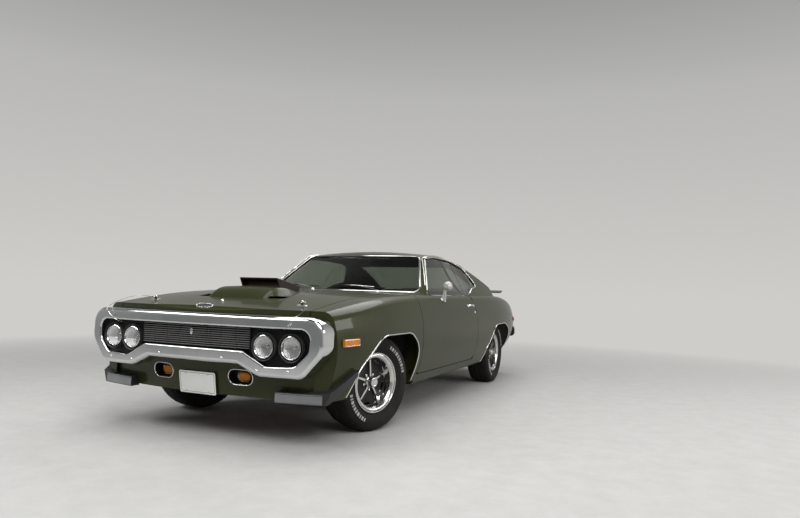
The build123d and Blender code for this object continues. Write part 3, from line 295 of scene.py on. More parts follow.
STEEL_PIPE = finish("exhaust_steel", (0.4, 0.38, 0.35), (0.26, 0.22, 0.18), 0.38, metallic=1.0, patch=9.0,
                    spread=0.25, dust=0.5)
SEAT_VINYL = finish("seat_vinyl", (0.02, 0.019, 0.018), (0.028, 0.026, 0.024), 0.42,
                    vinyl=420.0)
DASH_VINYL = finish("dash_vinyl", (0.024, 0.023, 0.022), (0.03, 0.029, 0.028), 0.5,
                    vinyl=600.0)
CARPET = finish("floor_carpet", (0.016, 0.016, 0.016), (0.03, 0.029, 0.028), 0.95,
                grain=1500, bump=0.8)
HEADLINER = finish("headliner_vinyl", (0.16, 0.155, 0.14), (0.14, 0.135, 0.12), 0.6,
                   vinyl=500.0)
PLATE_BLANK = finish("plate_blank", (0.7, 0.7, 0.68), (0.62, 0.62, 0.6), 0.35, grain=300,
                     bump=0.03)
MIRROR_SHELL = finish("mirror_shell", (0.5, 0.48, 0.46), (0.42, 0.405, 0.39), 0.34, metallic=0.6)
MIRROR = finish("mirror_glass", (0.9, 0.9, 0.9), (0.88, 0.88, 0.88), 0.01, metallic=1.0,
                spread=0.005)

# The finish of each node of the frame
NODE_FINISH = {
    OLIVE: "roof fenders cowl_panel quarter_panels rear_deck_panel tail_panel rockers front_valance "
           "door_left door_right hood decklid rear_wing",
    BLACKOUT: "front_structure radiator",
    UNDERBODY: "floor_pan control_arms fuel_tank",
    CAST_IRON: "rear_axle knuckle_left knuckle_right",
    ENGINE_ENAMEL: "engine",
    CHROME: "front_bumper rear_bumper",
    MIRROR_SHELL: "mirror_left mirror_right",
    WHEEL_BRIGHT: "rim_front_left rim_front_right rim_rear_left rim_rear_right",
    RUBBER: "tyre_front_left tyre_front_right tyre_rear_left tyre_rear_right",
    GRILLE_BLACK: "grille",
    REFLECTOR: "headlamps",
    SPOILER: "chin_spoilers",
    SCOOP_BROWN: "scoop_lid",
    TINTED: "windshield backlight quarter_glass door_glass_left door_glass_right",
    AMBER: "marker_lamps",
    BLACK_AND_PAINTED_SHADE: "turn_lamps",
    RED_LENS: "tail_lamps",
    DASH_VINYL: "dashboard steering_wheel package_tray",
    SEAT_VINYL: "front_seats rear_seat",
    STEEL_PIPE: "exhaust",
}
for look, names in NODE_FINISH.items():
    for name in names.split():
        NODES[name].data.materials.clear()
        NODES[name].data.materials.append(look)


# Pieces and shapes; a shape is a pair of points and faces

def mesh_of(name, shape, look, smooth):
    """The mesh of a shape; edges sharper than the angle stay sharp."""
    mesh = bpy.data.meshes.new(name)
    mesh.from_pydata([tuple(v) for v in shape[0]], [], shape[1])
    mesh.validate()
    mesh.materials.append(look)
    mesh.shade_smooth()
    mesh.set_sharp_from_angle(angle=radians(smooth))
    return mesh


def place(name, mesh, body, at=None):
    """A piece with a mesh, on a body of the frame."""
    piece = bpy.data.objects.new(name, mesh)
    if at is not None:
        piece.matrix_world = at
    bpy.context.scene.collection.objects.link(piece)
    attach(piece, body)
    return piece


def add(name, shape, look=TRIM, body="root", smooth=35.0):
    """A new piece from its shape."""
    return place(name, mesh_of(name, shape, look, smooth), body)


def other_side(shape):
    """The same shape on the car's other side."""
    return [Vector((-v[0], v[1], v[2])) for v in shape[0]], [tuple(reversed(f)) for f in shape[1]]


def both(name, shape, look=TRIM, body="root", smooth=35.0):
    """A piece and its mirror image; the body door stands for the door on the piece's own side."""
    for side, half in (("_left", shape), ("_right", other_side(shape))):
        add(name + side, half, look, body + side if body == "door" else body, smooth)


def joined(*shapes):
    """Several shapes as one."""
    verts, faces = [], []
    for more_verts, more_faces in shapes:
        start = len(verts)
        verts.extend(more_verts)
        faces.extend(tuple(i + start for i in f) for f in more_faces)
    return verts, faces


def moved(shape, matrix):
    """A shape moved by a matrix."""
    return [matrix @ Vector(v) for v in shape[0]], shape[1]


def repeated(shape, places):
    """Copies of a shape, each moved by its own matrix."""
    return joined(*(moved(shape, at) for at in places))


def rings(sections, closed_section=True, closed_path=False, caps=True):
    """A skin over a row of sections with the same number of points."""
    count = len(sections[0])
    verts = [Vector(p) for section in sections for p in section]
    faces = []
    for i in range(len(sections) if closed_path else len(sections) - 1):
        a, b = i * count, (i + 1) % len(sections) * count
        for k in range(count if closed_section else count - 1):
            m = (k + 1) % count
            faces.append((a + k, a + m, b + m, b + k))
    if caps and closed_section and not closed_path:
        last = (len(sections) - 1) * count
        faces += [tuple(reversed(range(count))), tuple(range(last, last + count))]
    return verts, faces


def round_points(count):
    """Angles at even steps round a circle."""
    return [2 * pi * i / count for i in range(count)]


def turned(profile, turn):
    """A profile of points (x, radius), turned about X by an angle."""
    return [(x, r * cos(turn), r * sin(turn)) for x, r in profile]


def lathe(profile, segments, closed=False):
    """A profile turned all round X."""
    sections = [turned(profile, turn) for turn in round_points(segments)]
    return rings(sections, closed_section=closed, closed_path=True)


def near(line, i, closed=False):
    """A point of a line by its number; past the end of an open line it is the last one."""
    return line[i % len(line) if closed else min(max(i, 0), len(line) - 1)]


def tube(points, radius, sides, closed=False):
    """A round wire through points."""
    points = [Vector(p) for p in points]
    sections = []
    for i, point in enumerate(points):
        along = (near(points, i + 1, closed) - near(points, i - 1, closed)).normalized()
        up = Vector((0, 0, 1)) if abs(along.z) < 0.9 else Vector((1, 0, 0))
        side = along.cross(up).normalized()
        top = side.cross(along)
        sections.append([point + radius * (cos(t) * side + sin(t) * top) for t in round_points(sides)])
    return rings(sections, closed_path=closed)


def smooth_line(points, count):
    """More points on a Catmull-Rom curve through the given ones."""
    points = [Vector(p) for p in points]
    line = []
    for i in range(len(points) - 1):
        a, b, c, d = (near(points, i + k) for k in (-1, 0, 1, 2))
        for k in range(count):
            t = k / count
            line.append(0.5 * (2 * b + (c - a) * t + (2 * a - 5 * b + 4 * c - d) * t * t
                               + (3 * b - a - 3 * c + d) * t ** 3))
    return line + [points[-1]]


def rounded(outline, steps):
    """A closed plane outline whose points (u, v, radius) get round corners."""
    points = []
    for i, (u, v, radius) in enumerate(outline):
        corner = Vector((u, v))
        if radius <= 0:
            points.append(corner)
            continue
        to_last = (Vector(outline[i - 1][:2]) - corner).normalized()
        to_next = (Vector(outline[(i + 1) % len(outline)][:2]) - corner).normalized()
        half = to_last.angle(to_next) / 2
        reach = radius / max(sin(half), 0.05) * cos(half)
        middle = corner + (to_last + to_next).normalized() * (radius / max(sin(half), 0.05))
        start, end = corner + to_last * reach - middle, corner + to_next * reach - middle
        turn = start.angle_signed(end)
        for k in range(steps + 1):
            share = -turn * k / steps
            points.append(middle + Vector((start.x * cos(share) - start.y * sin(share),
                                           start.x * sin(share) + start.y * cos(share))))
    return points


def box_outline(width, height, radius, steps=5):
    """A rectangle with round corners, about its middle."""
    u, v = width / 2, height / 2
    return rounded([(-u, -v, radius), (u, -v, radius), (u, v, radius), (-u, v, radius)], steps)


def evened(points, step, closed=True):
    """Points at even steps along a line."""
    points = [Vector(p) for p in points]
    if closed:
        points.append(points[0])
    lengths = [0.0]
    for a, b in zip(points, points[1:]):
        lengths.append(lengths[-1] + (b - a).length)
    count = max(int(lengths[-1] / step), 3)
    line = []
    i = 0
    for k in range(count if closed else count + 1):
        want = lengths[-1] * k / count
        while i < len(lengths) - 2 and lengths[i + 1] < want:
            i += 1
        share = (want - lengths[i]) / max(lengths[i + 1] - lengths[i], 1e-9)
        line.append(points[i].lerp(points[i + 1], min(share, 1.0)))
    return line


def offset(points, distance):
    """A closed plane outline moved outwards by a distance."""
    area = sum(a.x * b.y - b.x * a.y for a, b in zip(points, points[1:] + points[:1]))
    sign = 1 if area > 0 else -1
    line = []
    for i, point in enumerate(points):
        along = (near(points, i + 1, True) - points[i - 1]).normalized()
        line.append(point + Vector((along.y, -along.x)) * distance * sign)
    return line


def run_of(points, wanted):
    """The longest stretch of a closed line whose points are wanted, in order."""
    count = len(points)
    start = next(i for i in range(count) if not wanted(points[i]))
    best, run = [], []
    for k in range(count + 1):
        point = points[(start + k) % count]
        if wanted(point):
            run.append(point)
        else:
            best, run = max(best, run, key=len), []
    return max(best, run, key=len)


STRIP_SIDES = 6
STRIP_SINK = 0.001


def moulding(laid, width, height, closed=False):
    """A strip of half-oval section on a surface; laid is a list of (point, normal)."""
    sections = []
    for i, (point, _) in enumerate(laid):
        normal = sum((near(laid, i + k, closed)[1] for k in range(-3, 4)), Vector((0, 0, 0))).normalized()
        along = (near(laid, i + 1, closed)[0] - near(laid, i - 1, closed)[0]).normalized()
        side = along.cross(normal).normalized()
        section = [point - side * width / 2 - normal * STRIP_SINK]
        for k in range(STRIP_SIDES + 1):
            t = pi - pi * k / STRIP_SIDES
            section.append(point + side * (cos(t) * width / 2) + normal * (sin(t) * height))
        section.append(point + side * width / 2 - normal * STRIP_SINK)
        sections.append(section)
    return rings(sections, closed_path=closed)


def flat_strip(places, width, height, closed=False):
    """A moulding on a level plane."""
    return moulding([(Vector(p), Vector((0, 0, 1))) for p in places], width, height, closed)


def frame_round(outline, width, height):
    """A raised border along a plane outline, standing on the plane z = 0."""
    return flat_strip([(p.x, p.y, 0) for p in evened(outline, 0.004)], width, height, closed=True)


EDGE_STEPS = 3


def slab(outline, low, high, edge, steps=EDGE_STEPS):
    """A plate from a plane outline between two heights, with a rounded upper edge."""
    levels = [(0.0, low)]
    for k in range(steps + 1):
        t = pi / 2 * k / steps
        levels.append((edge * (1 - cos(t)), high - edge + edge * sin(t)))
    return rings([[Vector((p.x, p.y, z)) for p in offset(outline, -inward)] for inward, z in levels])


def facing(point, normal, up=(0, 0, 1)):
    """From a piece's own axes, with +X along the normal, to a place on the car."""
    x = Vector(normal).normalized()
    y = Vector(up).cross(x).normalized()
    return Matrix.Translation(point) @ Matrix((x, y, x.cross(y))).transposed().to_4x4()


def lying(point, normal, up=(0, 0, 1)):
    """From a flat piece's own axes, with +Z along the normal and +Y up, to a place on the car."""
    z = Vector(normal).normalized()
    x = Vector(up).cross(z).normalized()
    return Matrix.Translation(point) @ Matrix((x, z.cross(x), z)).transposed().to_4x4()


def upright(x, y, z):
    """From a turned piece's own axes, with +X as its axis, to a place where it stands upright."""
    return Matrix.Translation((x, y, z)) @ Matrix.Rotation(-pi / 2, 4, "Y")


def leaning(x, y, z, degrees, axis="X"):
    """From a piece's own axes to a place where it leans."""
    return Matrix.Translation((x, y, z)) @ Matrix.Rotation(radians(degrees), 4, axis)


class Skin:
    """The surface of a node, to lay trim on.

    Front, back, side and top look straight at the node from there, and give the place they meet and its
    outward normal.
    """

    def __init__(self, name):
        mesh = NODES[name].data
        faces = [list(p.vertices) for p in mesh.polygons]
        self.tree = BVHTree.FromPolygons([v.co.copy() for v in mesh.vertices], faces)

    def cast(self, start, direction):
        """Where a straight line meets the node, or the closest place, and the normal there."""
        start, direction = Vector(start), Vector(direction)
        point, normal, _, _ = self.tree.ray_cast(start, direction)
        if point is None:
            point, normal, _, _ = self.tree.find_nearest(start + direction * 0.2)
        return point, -normal if normal.dot(direction) > 0 else normal

    def front(self, x, z, start=-3.2):
        return self.cast((x, start, z), (0, 1, 0))

    def back(self, x, z, start=3.2):
        return self.cast((x, start, z), (0, -1, 0))

    def side(self, y, z):
        return self.cast((1.3, y, z), (-1, 0, 0))

    def top(self, x, y, start=1.2):
        return self.cast((x, y, start), (0, 0, -1))


# Wheels

# Outer half of the tyre's section: distance from its middle, radius
SIDEWALL = [
    (0.094, 0.2085), (0.0985, 0.211), (0.101, 0.216), (0.1, 0.221), (0.1075, 0.231), (0.116, 0.243),
    (0.119, 0.248), (0.1192, 0.25), (0.1208, 0.255), (0.1218, 0.264), (0.1216, 0.276), (0.1202, 0.287),
    (0.1192, 0.289), (0.1188, 0.291), (0.115, 0.303), (0.11, 0.313), (0.105, 0.3205), (0.101, 0.3245),
]
BEAD = [(0.094, 0.1915), (-0.094, 0.1915)]
# Grooves round the tread: middle, half width, depth
GROOVES = [(-0.066, 0.0035, 0.007), (-0.026, 0.004, 0.008), (0.026, 0.004, 0.008), (0.066, 0.0035, 0.007)]
TREAD_HALF = 0.098
TREAD_CUTS = 60
# How far the tread's radius falls towards its edges, by the fourth and the second power
TREAD_FALL = (0.0095, 0.0012)
# Cuts across the tread: where the shoulder starts, their depth there and inside it, and their slant
SHOULDER_FROM = 0.07
SHOULDER_CUT, MIDDLE_CUT = 0.0055, 0.0035
CUT_SLANT = 0.22
# Raised white marks on the sidewall: start and length in degrees, and their inner and outer radius
MARKS = [(start + step, length) for start in (12, 192) for step, length in (
    (0, 3.6), (5.6, 2.2), (9.8, 4.4), (16.2, 2.2), (20.6, 3.6), (26.4, 2.6), (31.2, 4.6), (38.4, 2.0),
    (43.0, 3.8), (49.2, 2.4))]
MARK_R = (0.2555, 0.28)
# The section of a mark: radius, height over the sidewall
MARK_SECTION = [(MARK_R[0], -0.001), (MARK_R[0], 0.001), (sum(MARK_R) / 2, 0.0012), (MARK_R[1], 0.001),
                (MARK_R[1], -0.001)]
# The centre cap's section: distance from the spokes, radius
CAP = [(-0.002, 0.0005), (-0.002, 0.04), (0.002, 0.041), (0.006, 0.036), (0.01, 0.0345), (0.034, 0.0335),
       (0.0385, 0.0315), (0.04, 0.028), (0.039, 0.024), (0.0375, 0.021), (0.0385, 0.01), (0.039, 0.0005)]
NUT_SEAT = [(0.018, 0.014), (0.024, 0.0115), (0.0245, 0.0105)]
NUT = [(0.022, 0.0103), (0.038, 0.0103), (0.0405, 0.0085), (0.0425, 0.0045), (0.0428, 0.0003)]
NUT_CIRCLE = 0.0572
FIFTHS = [Matrix.Rotation(2 * pi * (i + 0.5) / 5, 4, "X") for i in range(5)]
# The bright ring inside the rim's lip, and a black ring beside it: painted shade in the gap between ring and
# lip
TRIM_RING = [(0.0945, 0.1965), (0.0995, 0.1955), (0.101, 0.1915), (0.0998, 0.185), (0.0955, 0.1775),
             (0.0895, 0.1715), (0.085, 0.169), (0.0835, 0.1675), (0.0825, 0.169), (0.0865, 0.1735),
             (0.0925, 0.18), (0.095, 0.186)]
RING_GAP_SHADE = [(0.0985, 0.2012), (0.0992, 0.1995), (0.0985, 0.195), (0.096, 0.1955), (0.0965, 0.2)]
# Pockets between the wheel's five ridges: inner and outer radius, rows of points, the row with the window
POCKET_R = (0.0505, 0.1768)
POCKET_ROWS = [0.058, 0.072, 0.092, 0.11, 0.126, 0.138, 0.1452, 0.1658]
WINDOW_ROW = 7
# Half a ridge's width, where it starts to widen and how fast
RIDGE_HALF, RIDGE_TURN, RIDGE_GROWTH = 0.0072, 0.146, 0.34
# The enamel's lift over the wheel's dish
ENAMEL_LIFT = 0.0009


def wheel_place(x, y, angle):
    """From a wheel's own axes, with +X out of its open face, to the car's."""
    at = Matrix.Translation((x, y, WHEEL_Z))
    if x < 0:
        at = at @ Matrix.Rotation(pi, 4, "Z")
    if angle:
        pivot = Matrix.Translation((STEER_X if x > 0 else -STEER_X, FRONT_AXLE_Y, 0))
        at = pivot @ Matrix.Rotation(angle, 4, "Z") @ pivot.inverted() @ at
    return at


def tread_radius(x):
    """The tread's radius at a distance from its middle."""
    return TYRE_R - TREAD_FALL[0] * (x / TREAD_HALF) ** 4 - TREAD_FALL[1] * (x / TREAD_HALF) ** 2


def tyre():
    """Tyre with ribbed sidewalls, round grooves and blocks cut across its tread."""
    edges = [(-TREAD_HALF, 0)]
    for middle, half, depth in GROOVES:
        low, high = middle - half, middle + half
        edges += [(low, 0), (low + 0.001, depth), (high - 0.001, depth), (high, 0)]
    edges.append((TREAD_HALF, 0))
    tread = []
    for (x, depth), (after, next_depth) in zip(edges, edges[1:] + [(0, 1)]):
        tread.append((x, tread_radius(x) - depth))
        if depth == 0 and next_depth == 0:
            flat = [x + (after - x) * share for share in (0.25, 0.5, 0.75)]
            tread += [(u, tread_radius(u)) for u in flat]
    section = [(-x, r) for x, r in SIDEWALL] + tread + SIDEWALL[::-1] + BEAD
    first, last = len(SIDEWALL), len(SIDEWALL) + len(tread)
    sections = []
    steps = TREAD_CUTS * 4
    for i in range(steps):
        ring = []
        for k, (x, r) in enumerate(section):
            shift = 0.0
            if first - 3 <= k < last + 3:
                out = abs(x)
                cut = (i % 4 == 0 and (out > SHOULDER_FROM or out < 0.022)
                       or i % 4 == 2 and 0.03 < out < 0.062)
                if cut and r > TYRE_R - 0.016:
                    r -= SHOULDER_CUT if out > SHOULDER_FROM else MIDDLE_CUT
                shift = CUT_SLANT * out / TREAD_HALF
            turn = 2 * pi * (i + shift) / steps
            ring.append((x, r * cos(turn), r * sin(turn)))
        sections.append(ring)
    return rings(sections, closed_path=True)


def sidewall_x(radius):
    """How far out the sidewall is at a radius."""
    for (x0, r0), (x1, r1) in zip(SIDEWALL, SIDEWALL[1:]):
        if r0 <= radius <= r1:
            return x0 + (x1 - x0) * (radius - r0) / max(r1 - r0, 1e-9)


def marks():
    """Short raised bars round the outer sidewall, in two groups."""
    section = [(sidewall_x(r) + lift, r) for r, lift in MARK_SECTION]
    return joined(*(rings([turned(section, radians(start + length * i / 4)) for i in range(5)])
                    for start, length in MARKS))


def ridge_half(along):
    """Half the width of a ridge at a distance from the hub."""
    return RIDGE_HALF if along < RIDGE_TURN else RIDGE_HALF + (along - RIDGE_TURN) * RIDGE_GROWTH


def pocket_edge(q):
    """How far a pocket reaches sideways at a distance from the hub."""
    turn = radians(36)
    half = ridge_half(q / cos(turn))
    along = (q - half * sin(turn)) / cos(turn)
    half = ridge_half(along)
    return min(along * sin(turn) - half * cos(turn), sqrt(max(POCKET_R[1] ** 2 - q * q, 0)))


def window_edge(q, edge):
    """How far the rows' inner points, and the window, reach sideways at a distance from the hub."""
    share = min(max((q - 0.115) / 0.03, 0), 1)
    return edge * 0.62 * (1 - share) + (0.039 - (q - 0.1452) * 0.4) * share


def pockets():
    """Floors of the five pockets between the ridges, each with its window left open."""
    rows = [[(POCKET_R[0] * sin(radians(a)), POCKET_R[0] * cos(radians(a)))
             for a in [-27 + 54 * k / 10 for k in range(11)]]]
    for q in POCKET_ROWS:
        edge = pocket_edge(q)
        middle = window_edge(q, edge)
        outer = [edge, (edge + middle) / 2, middle]
        inner = [middle * k / 3 for k in (2, 1, 0, -1, -2)]
        rows.append([(-s, q) for s in outer + inner] + [(s, q) for s in reversed(outer)])
    last = pocket_edge(POCKET_ROWS[-1])
    rows.append([(s * 0.995, sqrt(POCKET_R[1] ** 2 - (s * 0.995) ** 2))
                 for s in [-last + 2 * last * k / 10 for k in range(11)]])
    verts = [Vector((DISH_EDGE - (sqrt(s * s + q * q) - 0.05) / 16 + ENAMEL_LIFT, s, q))
             for row in rows for s, q in row]
    starts = [i * 11 + k for i in range(len(rows) - 1) for k in range(10)
              if i != WINDOW_ROW or not 2 <= k < 8]
    return repeated((verts, [(a, a + 1, a + 12, a + 11) for a in starts]), FIFTHS)


def dress_wheels():
    """Tyre, sidewall marks, cap, nuts, painted pockets and trim ring of each wheel, and a black ring of
    painted shade in the gap beside the trim ring.
    """
    nut = joined(lathe(NUT_SEAT, 24), lathe(NUT, 6))
    parts = [(part, mesh_of(part, shape, look, smooth), look) for part, shape, look, smooth in [
        ("tyre", tyre(), RUBBER, 30.0),
        ("sidewall_marks", marks(), WHITE_MARK, 30.0),
        ("centre_cap", lathe([(SPOKE_OUT + x, r) for x, r in CAP], 60), WHEEL_BRIGHT, 40.0),
        ("wheel_nuts", repeated(nut, [turn @ Matrix.Translation((0, 0, NUT_CIRCLE)) for turn in FIFTHS]),
         WHEEL_BRIGHT, 30.0),
        ("wheel_pockets", pockets(), WHEEL_BLACK, 30.0),
        ("trim_ring", lathe(TRIM_RING, 96, closed=True), WHEEL_BRIGHT, 50.0),
        # A black ring painted as the shade in the gap beside the trim ring
        ("trim_ring_gap_shade", lathe(RING_GAP_SHADE, 96, closed=True), WHEEL_BLACK, 30.0),
    ]]
    for name, x, y, angle in WHEELS:
        at = wheel_place(x, y, angle)
        for part, mesh, look in parts:
            title = part + "_" + name + ("_tread" if part == "tyre" else "")
            piece = place(title, mesh, "wheel_" + name, at)
            if part == "tyre":
                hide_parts("tyre_" + name)


# Trim laid on the body

# Outlines as the body's, each point with its corner radius: y and z from the axle for the arches, y and z
# for the side window, x and z for the windshield, x and y for the backlight
FRONT_ARCH = [(-0.56, -0.34, 0), (-0.5, 0.13, 0.25), (-0.215, 0.336, 0.33), (0.275, 0.336, 0.2),
              (0.438, 0.23, 0.16), (0.415, -0.34, 0)]
REAR_ARCH = [(-0.59, -0.34, 0), (-0.56, 0.09, 0.09), (-0.33, 0.322, 0.24), (0.06, 0.326, 0.2),
             (0.33, 0.24, 0.19), (0.4, -0.34, 0)]
# Arches: name, axle, outline, node, height at which the moulding ends
ARCHES = [("front", FRONT_AXLE_Y, FRONT_ARCH, "fenders", 0.296),
          ("rear", REAR_AXLE_Y, REAR_ARCH, "quarter_panels", 0.275)]
SIDE_WINDOW = [(-0.612, 0.958, 0.012), (-0.246, 1.288, 0.04), (-0.05, 1.31, 0.09), (0.42, 1.306, 0.16),
               (0.69, 1.238, 0.06), (0.842, 1.07, 0.022), (0.64, 1.042, 0.06), (0.44, 0.972, 0.08),
               (0.33, 0.958, 0.06)]
WINDSHIELD = [(-0.752, 0.982, 0.03), (0.752, 0.982, 0.03), (0.575, 1.308, 0.06), (-0.575, 1.308, 0.06)]
BACKLIGHT = [(-0.52, 0.69, 0.06), (0.52, 0.69, 0.06), (0.61, 1.5, 0.06), (-0.61, 1.5, 0.06)]


def dress_arches():
    """Bright mouldings round the wheel openings."""
    for name, axle_y, outline, node, sill in ARCHES:
        skin = Skin(node)
        points = run_of(evened(offset(rounded(outline, 10), 0.006), 0.012), lambda p: p.y + WHEEL_Z > sill)
        laid = [skin.side(p.x + axle_y, p.y + WHEEL_Z) for p in points]
        both(name + "_arch_moulding", moulding(laid, 0.01, 0.005))


def beside(skin, opening, space, direction, out):
    """(place on the drawing, point, normal) all round an opening, moved outwards over the surface."""
    line = evened(rounded(opening, 8), 0.012)
    laid = []
    for p, q in zip(line, offset(line, 0.001)):
        point, normal = skin.cast(space(q) - Vector(direction) * 3, direction)
        away = space(q) - space(p)
        away = (away - normal * away.dot(normal)).normalized()
        close, facing_out, _, _ = skin.tree.find_nearest(point + away * out)
        laid.append((p, close, facing_out if facing_out.dot(normal) > 0 else -facing_out))
    return laid


def dress_windows():
    """Bright mouldings round the windows and drip rails over the doors."""
    skin = Skin("roof")
    for name, out, width, height, wanted in [
        ("side_window_moulding", 0.007, 0.012, 0.005, lambda p: p.y > 0.985),
        ("drip_rail", 0.03, 0.009, 0.009, lambda p: p.y > 1.02 and p.x < 0.72 and (p.y > 1.15 or p.x < 0)),
    ]:
        spots = beside(skin, SIDE_WINDOW, lambda p: Vector((0, p.x, p.y)), (-1, 0, 0), out)
        run = run_of(spots, lambda spot: wanted(spot[0]))
        both(name, moulding([spot[1:] for spot in run], width, height))
    for name, opening, space, direction in [
        ("windshield_moulding", WINDSHIELD, lambda p: Vector((p.x, 0, p.y)), (0, 1, 0)),
        ("backlight_moulding", BACKLIGHT, lambda p: Vector((p.x, p.y, 0)), (0, 0, -1)),
    ]:
        laid = [spot[1:] for spot in beside(skin, opening, space, direction, 0.0065)]
        add(name, moulding(laid, 0.016, 0.0045, closed=True))


# Parts of a headlamp: name, look, segments, section
LAMP_PARTS = [
    ("headlamp_rings", CHROME, 64, [
        (-0.012, 0.07), (0.004, 0.0705), (0.009, 0.069), (0.0105, 0.0665), (0.008, 0.064), (0.004, 0.063),
        (-0.004, 0.0625)]),
    ("headlamp_bowls", REFLECTOR, 48, [
        (0.0, 0.0632), (-0.006, 0.056), (-0.012, 0.04), (-0.016, 0.02), (-0.0165, 0.012), (-0.008, 0.011),
        (-0.004, 0.006), (-0.003, 0.0003)]),
    ("headlamp_glass", LAMP_GLASS, 48, [
        (0.0015, 0.0632), (0.006, 0.06), (0.0095, 0.05), (0.0125, 0.033), (0.0138, 0.015),
        (0.014, 0.0003)]),
]


def dress_headlamps():
    """Sealed beams: bright ring, bowl and fluted glass, in a ribbed dark bezel."""
    skin = Skin("headlamps")
    spots = []
    for x in (-LAMP_X[0], -LAMP_X[1], *LAMP_X):
        front, _ = skin.front(x, LAMP_Z)
        spots.append(leaning(x, front.y, LAMP_Z, -90, "Z"))
    for name, look, segments, profile in LAMP_PARTS:
        piece = add(name, repeated(lathe(profile, segments), spots), look)
        if name == "headlamp_rings":
            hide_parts("headlamps")
    sections = []
    for i, t in enumerate(round_points(96)):
        deep = 0.0022 if i % 4 < 2 else 0.0
        profile = [(-0.014, 0.0705), (-0.002, 0.0735 + deep), (0.006, 0.0775 + deep), (0.012, 0.0815),
                   (0.0135, 0.084), (0.01, 0.0855), (-0.014, 0.0855)]
        sections.append(turned(profile, t))
    bezel = rings(sections, closed_section=False, closed_path=True)
    add("headlamp_bezels", repeated(bezel, spots), BLACKOUT, smooth=25.0)


BOLT = [(-0.002, 0.0095), (0.0008, 0.0095), (0.003, 0.008), (0.0044, 0.005), (0.005, 0.0003)]
FRONT_BOLTS = [(0.249, 0.538), (0.499, 0.478), (0.705, 0.484)]
REAR_BOLTS = [(0.24, 0.522), (0.64, 0.522)]


def dress_bumpers():
    """Bolt heads on both bumpers."""
    front, back = Skin("front_bumper"), Skin("rear_bumper")
    spots = [front.front(side * x, z) for x, z in FRONT_BOLTS for side in (-1, 1)]
    spots += [back.back(side * x, z) for x, z in REAR_BOLTS for side in (-1, 1)]
    add("bumper_bolts", repeated(lathe(BOLT, 20), [facing(*spot) for spot in spots]))


PLATE_SIZE = (0.29, 0.144)
PLATE_MIDDLE = (-0.01, 0.361)
PLATE_BACK, PLATE_FACE = 0.0125, 0.014


def dress_plate():
    """A blank plate with a pressed border and four screws, on a bracket in front of the valance."""
    at = lying(*Skin("front_valance").front(*PLATE_MIDDLE))
    on_face = Matrix.Translation((0, 0, PLATE_FACE))
    width, height = PLATE_SIZE
    outline = box_outline(width, height, 0.012)
    bracket = slab(box_outline(width - 0.05, height - 0.04, 0.008), -0.001, PLATE_BACK, 0.002)
    add("plate_bracket", moved(bracket, at), BLACKOUT)
    plate = joined(slab(outline, PLATE_BACK, PLATE_FACE, 0.0005),
                   moved(frame_round(offset(outline, -0.006), 0.005, 0.0012), on_face))
    add("plate_blank", moved(plate, at), PLATE_BLANK)
    border = moved(frame_round(offset(outline, -0.0105), 0.0022, 0.0004), on_face)
    add("plate_border", moved(border, at), BLACKOUT)
    screw = lathe([(0.0135, 0.006), (0.0155, 0.0055), (0.0168, 0.003), (0.017, 0.0003)], 16)
    spots = [at @ upright(x, y, 0) for x in (-0.089, 0.089) for y in (-0.058, 0.058)]
    add("plate_screws", repeated(screw, spots))


# Oval lamp tunnels in the valance: middle, half width and half height
POD = (0.31, 0.415, 0.085, 0.046)


def dress_turn_lamps():
    """Bright rims and amber lenses of the two lamps in the valance."""
    x, z, half, radius = POD
    valance = Skin("front_valance")
    outline = box_outline(2 * half + 0.004, 2 * radius + 0.004, radius)
    rim = evened([Vector((p.x + x, p.y + z)) for p in outline], 0.006)
    both("turn_lamp_rim", moulding([valance.front(p.x, p.y) for p in rim], 0.007, 0.0045, closed=True))
    at = lying(*Skin("turn_lamps").front(x, z))
    both("turn_lamp_lens", moved(slab(box_outline(0.09, 0.058, 0.028), -0.002, 0.016, 0.01, 5), at), AMBER)
    both("turn_lamp_ring", moved(frame_round(box_outline(0.102, 0.068, 0.033), 0.006, 0.005), at))


# The left hood pin: its place across the car and along it, and the height of its top
PIN = (0.61, -2.262, 0.897)
PIN_HOLE = 0.014
PLATE_POINTS = 40
CLIP = [(-0.016, 0, 0), (0.018, 0, 0), (0.03, -0.004, 0.003), (0.034, -0.012, 0.004),
        (0.028, -0.019, 0.003), (0.01, -0.015, 0), (-0.004, -0.0118, 0), (-0.018, -0.0175, 0)]
LANYARD = [(0.7, -2.33, 0.893), (0.745, -2.42, 0.868), (0.762, -2.5, 0.832), (0.752, -2.552, 0.806),
           (0.73, -2.556, 0.78), (0.694, -2.553, 0.748), (0.668, -2.54, 0.728), (0.65, -2.515, 0.716)]


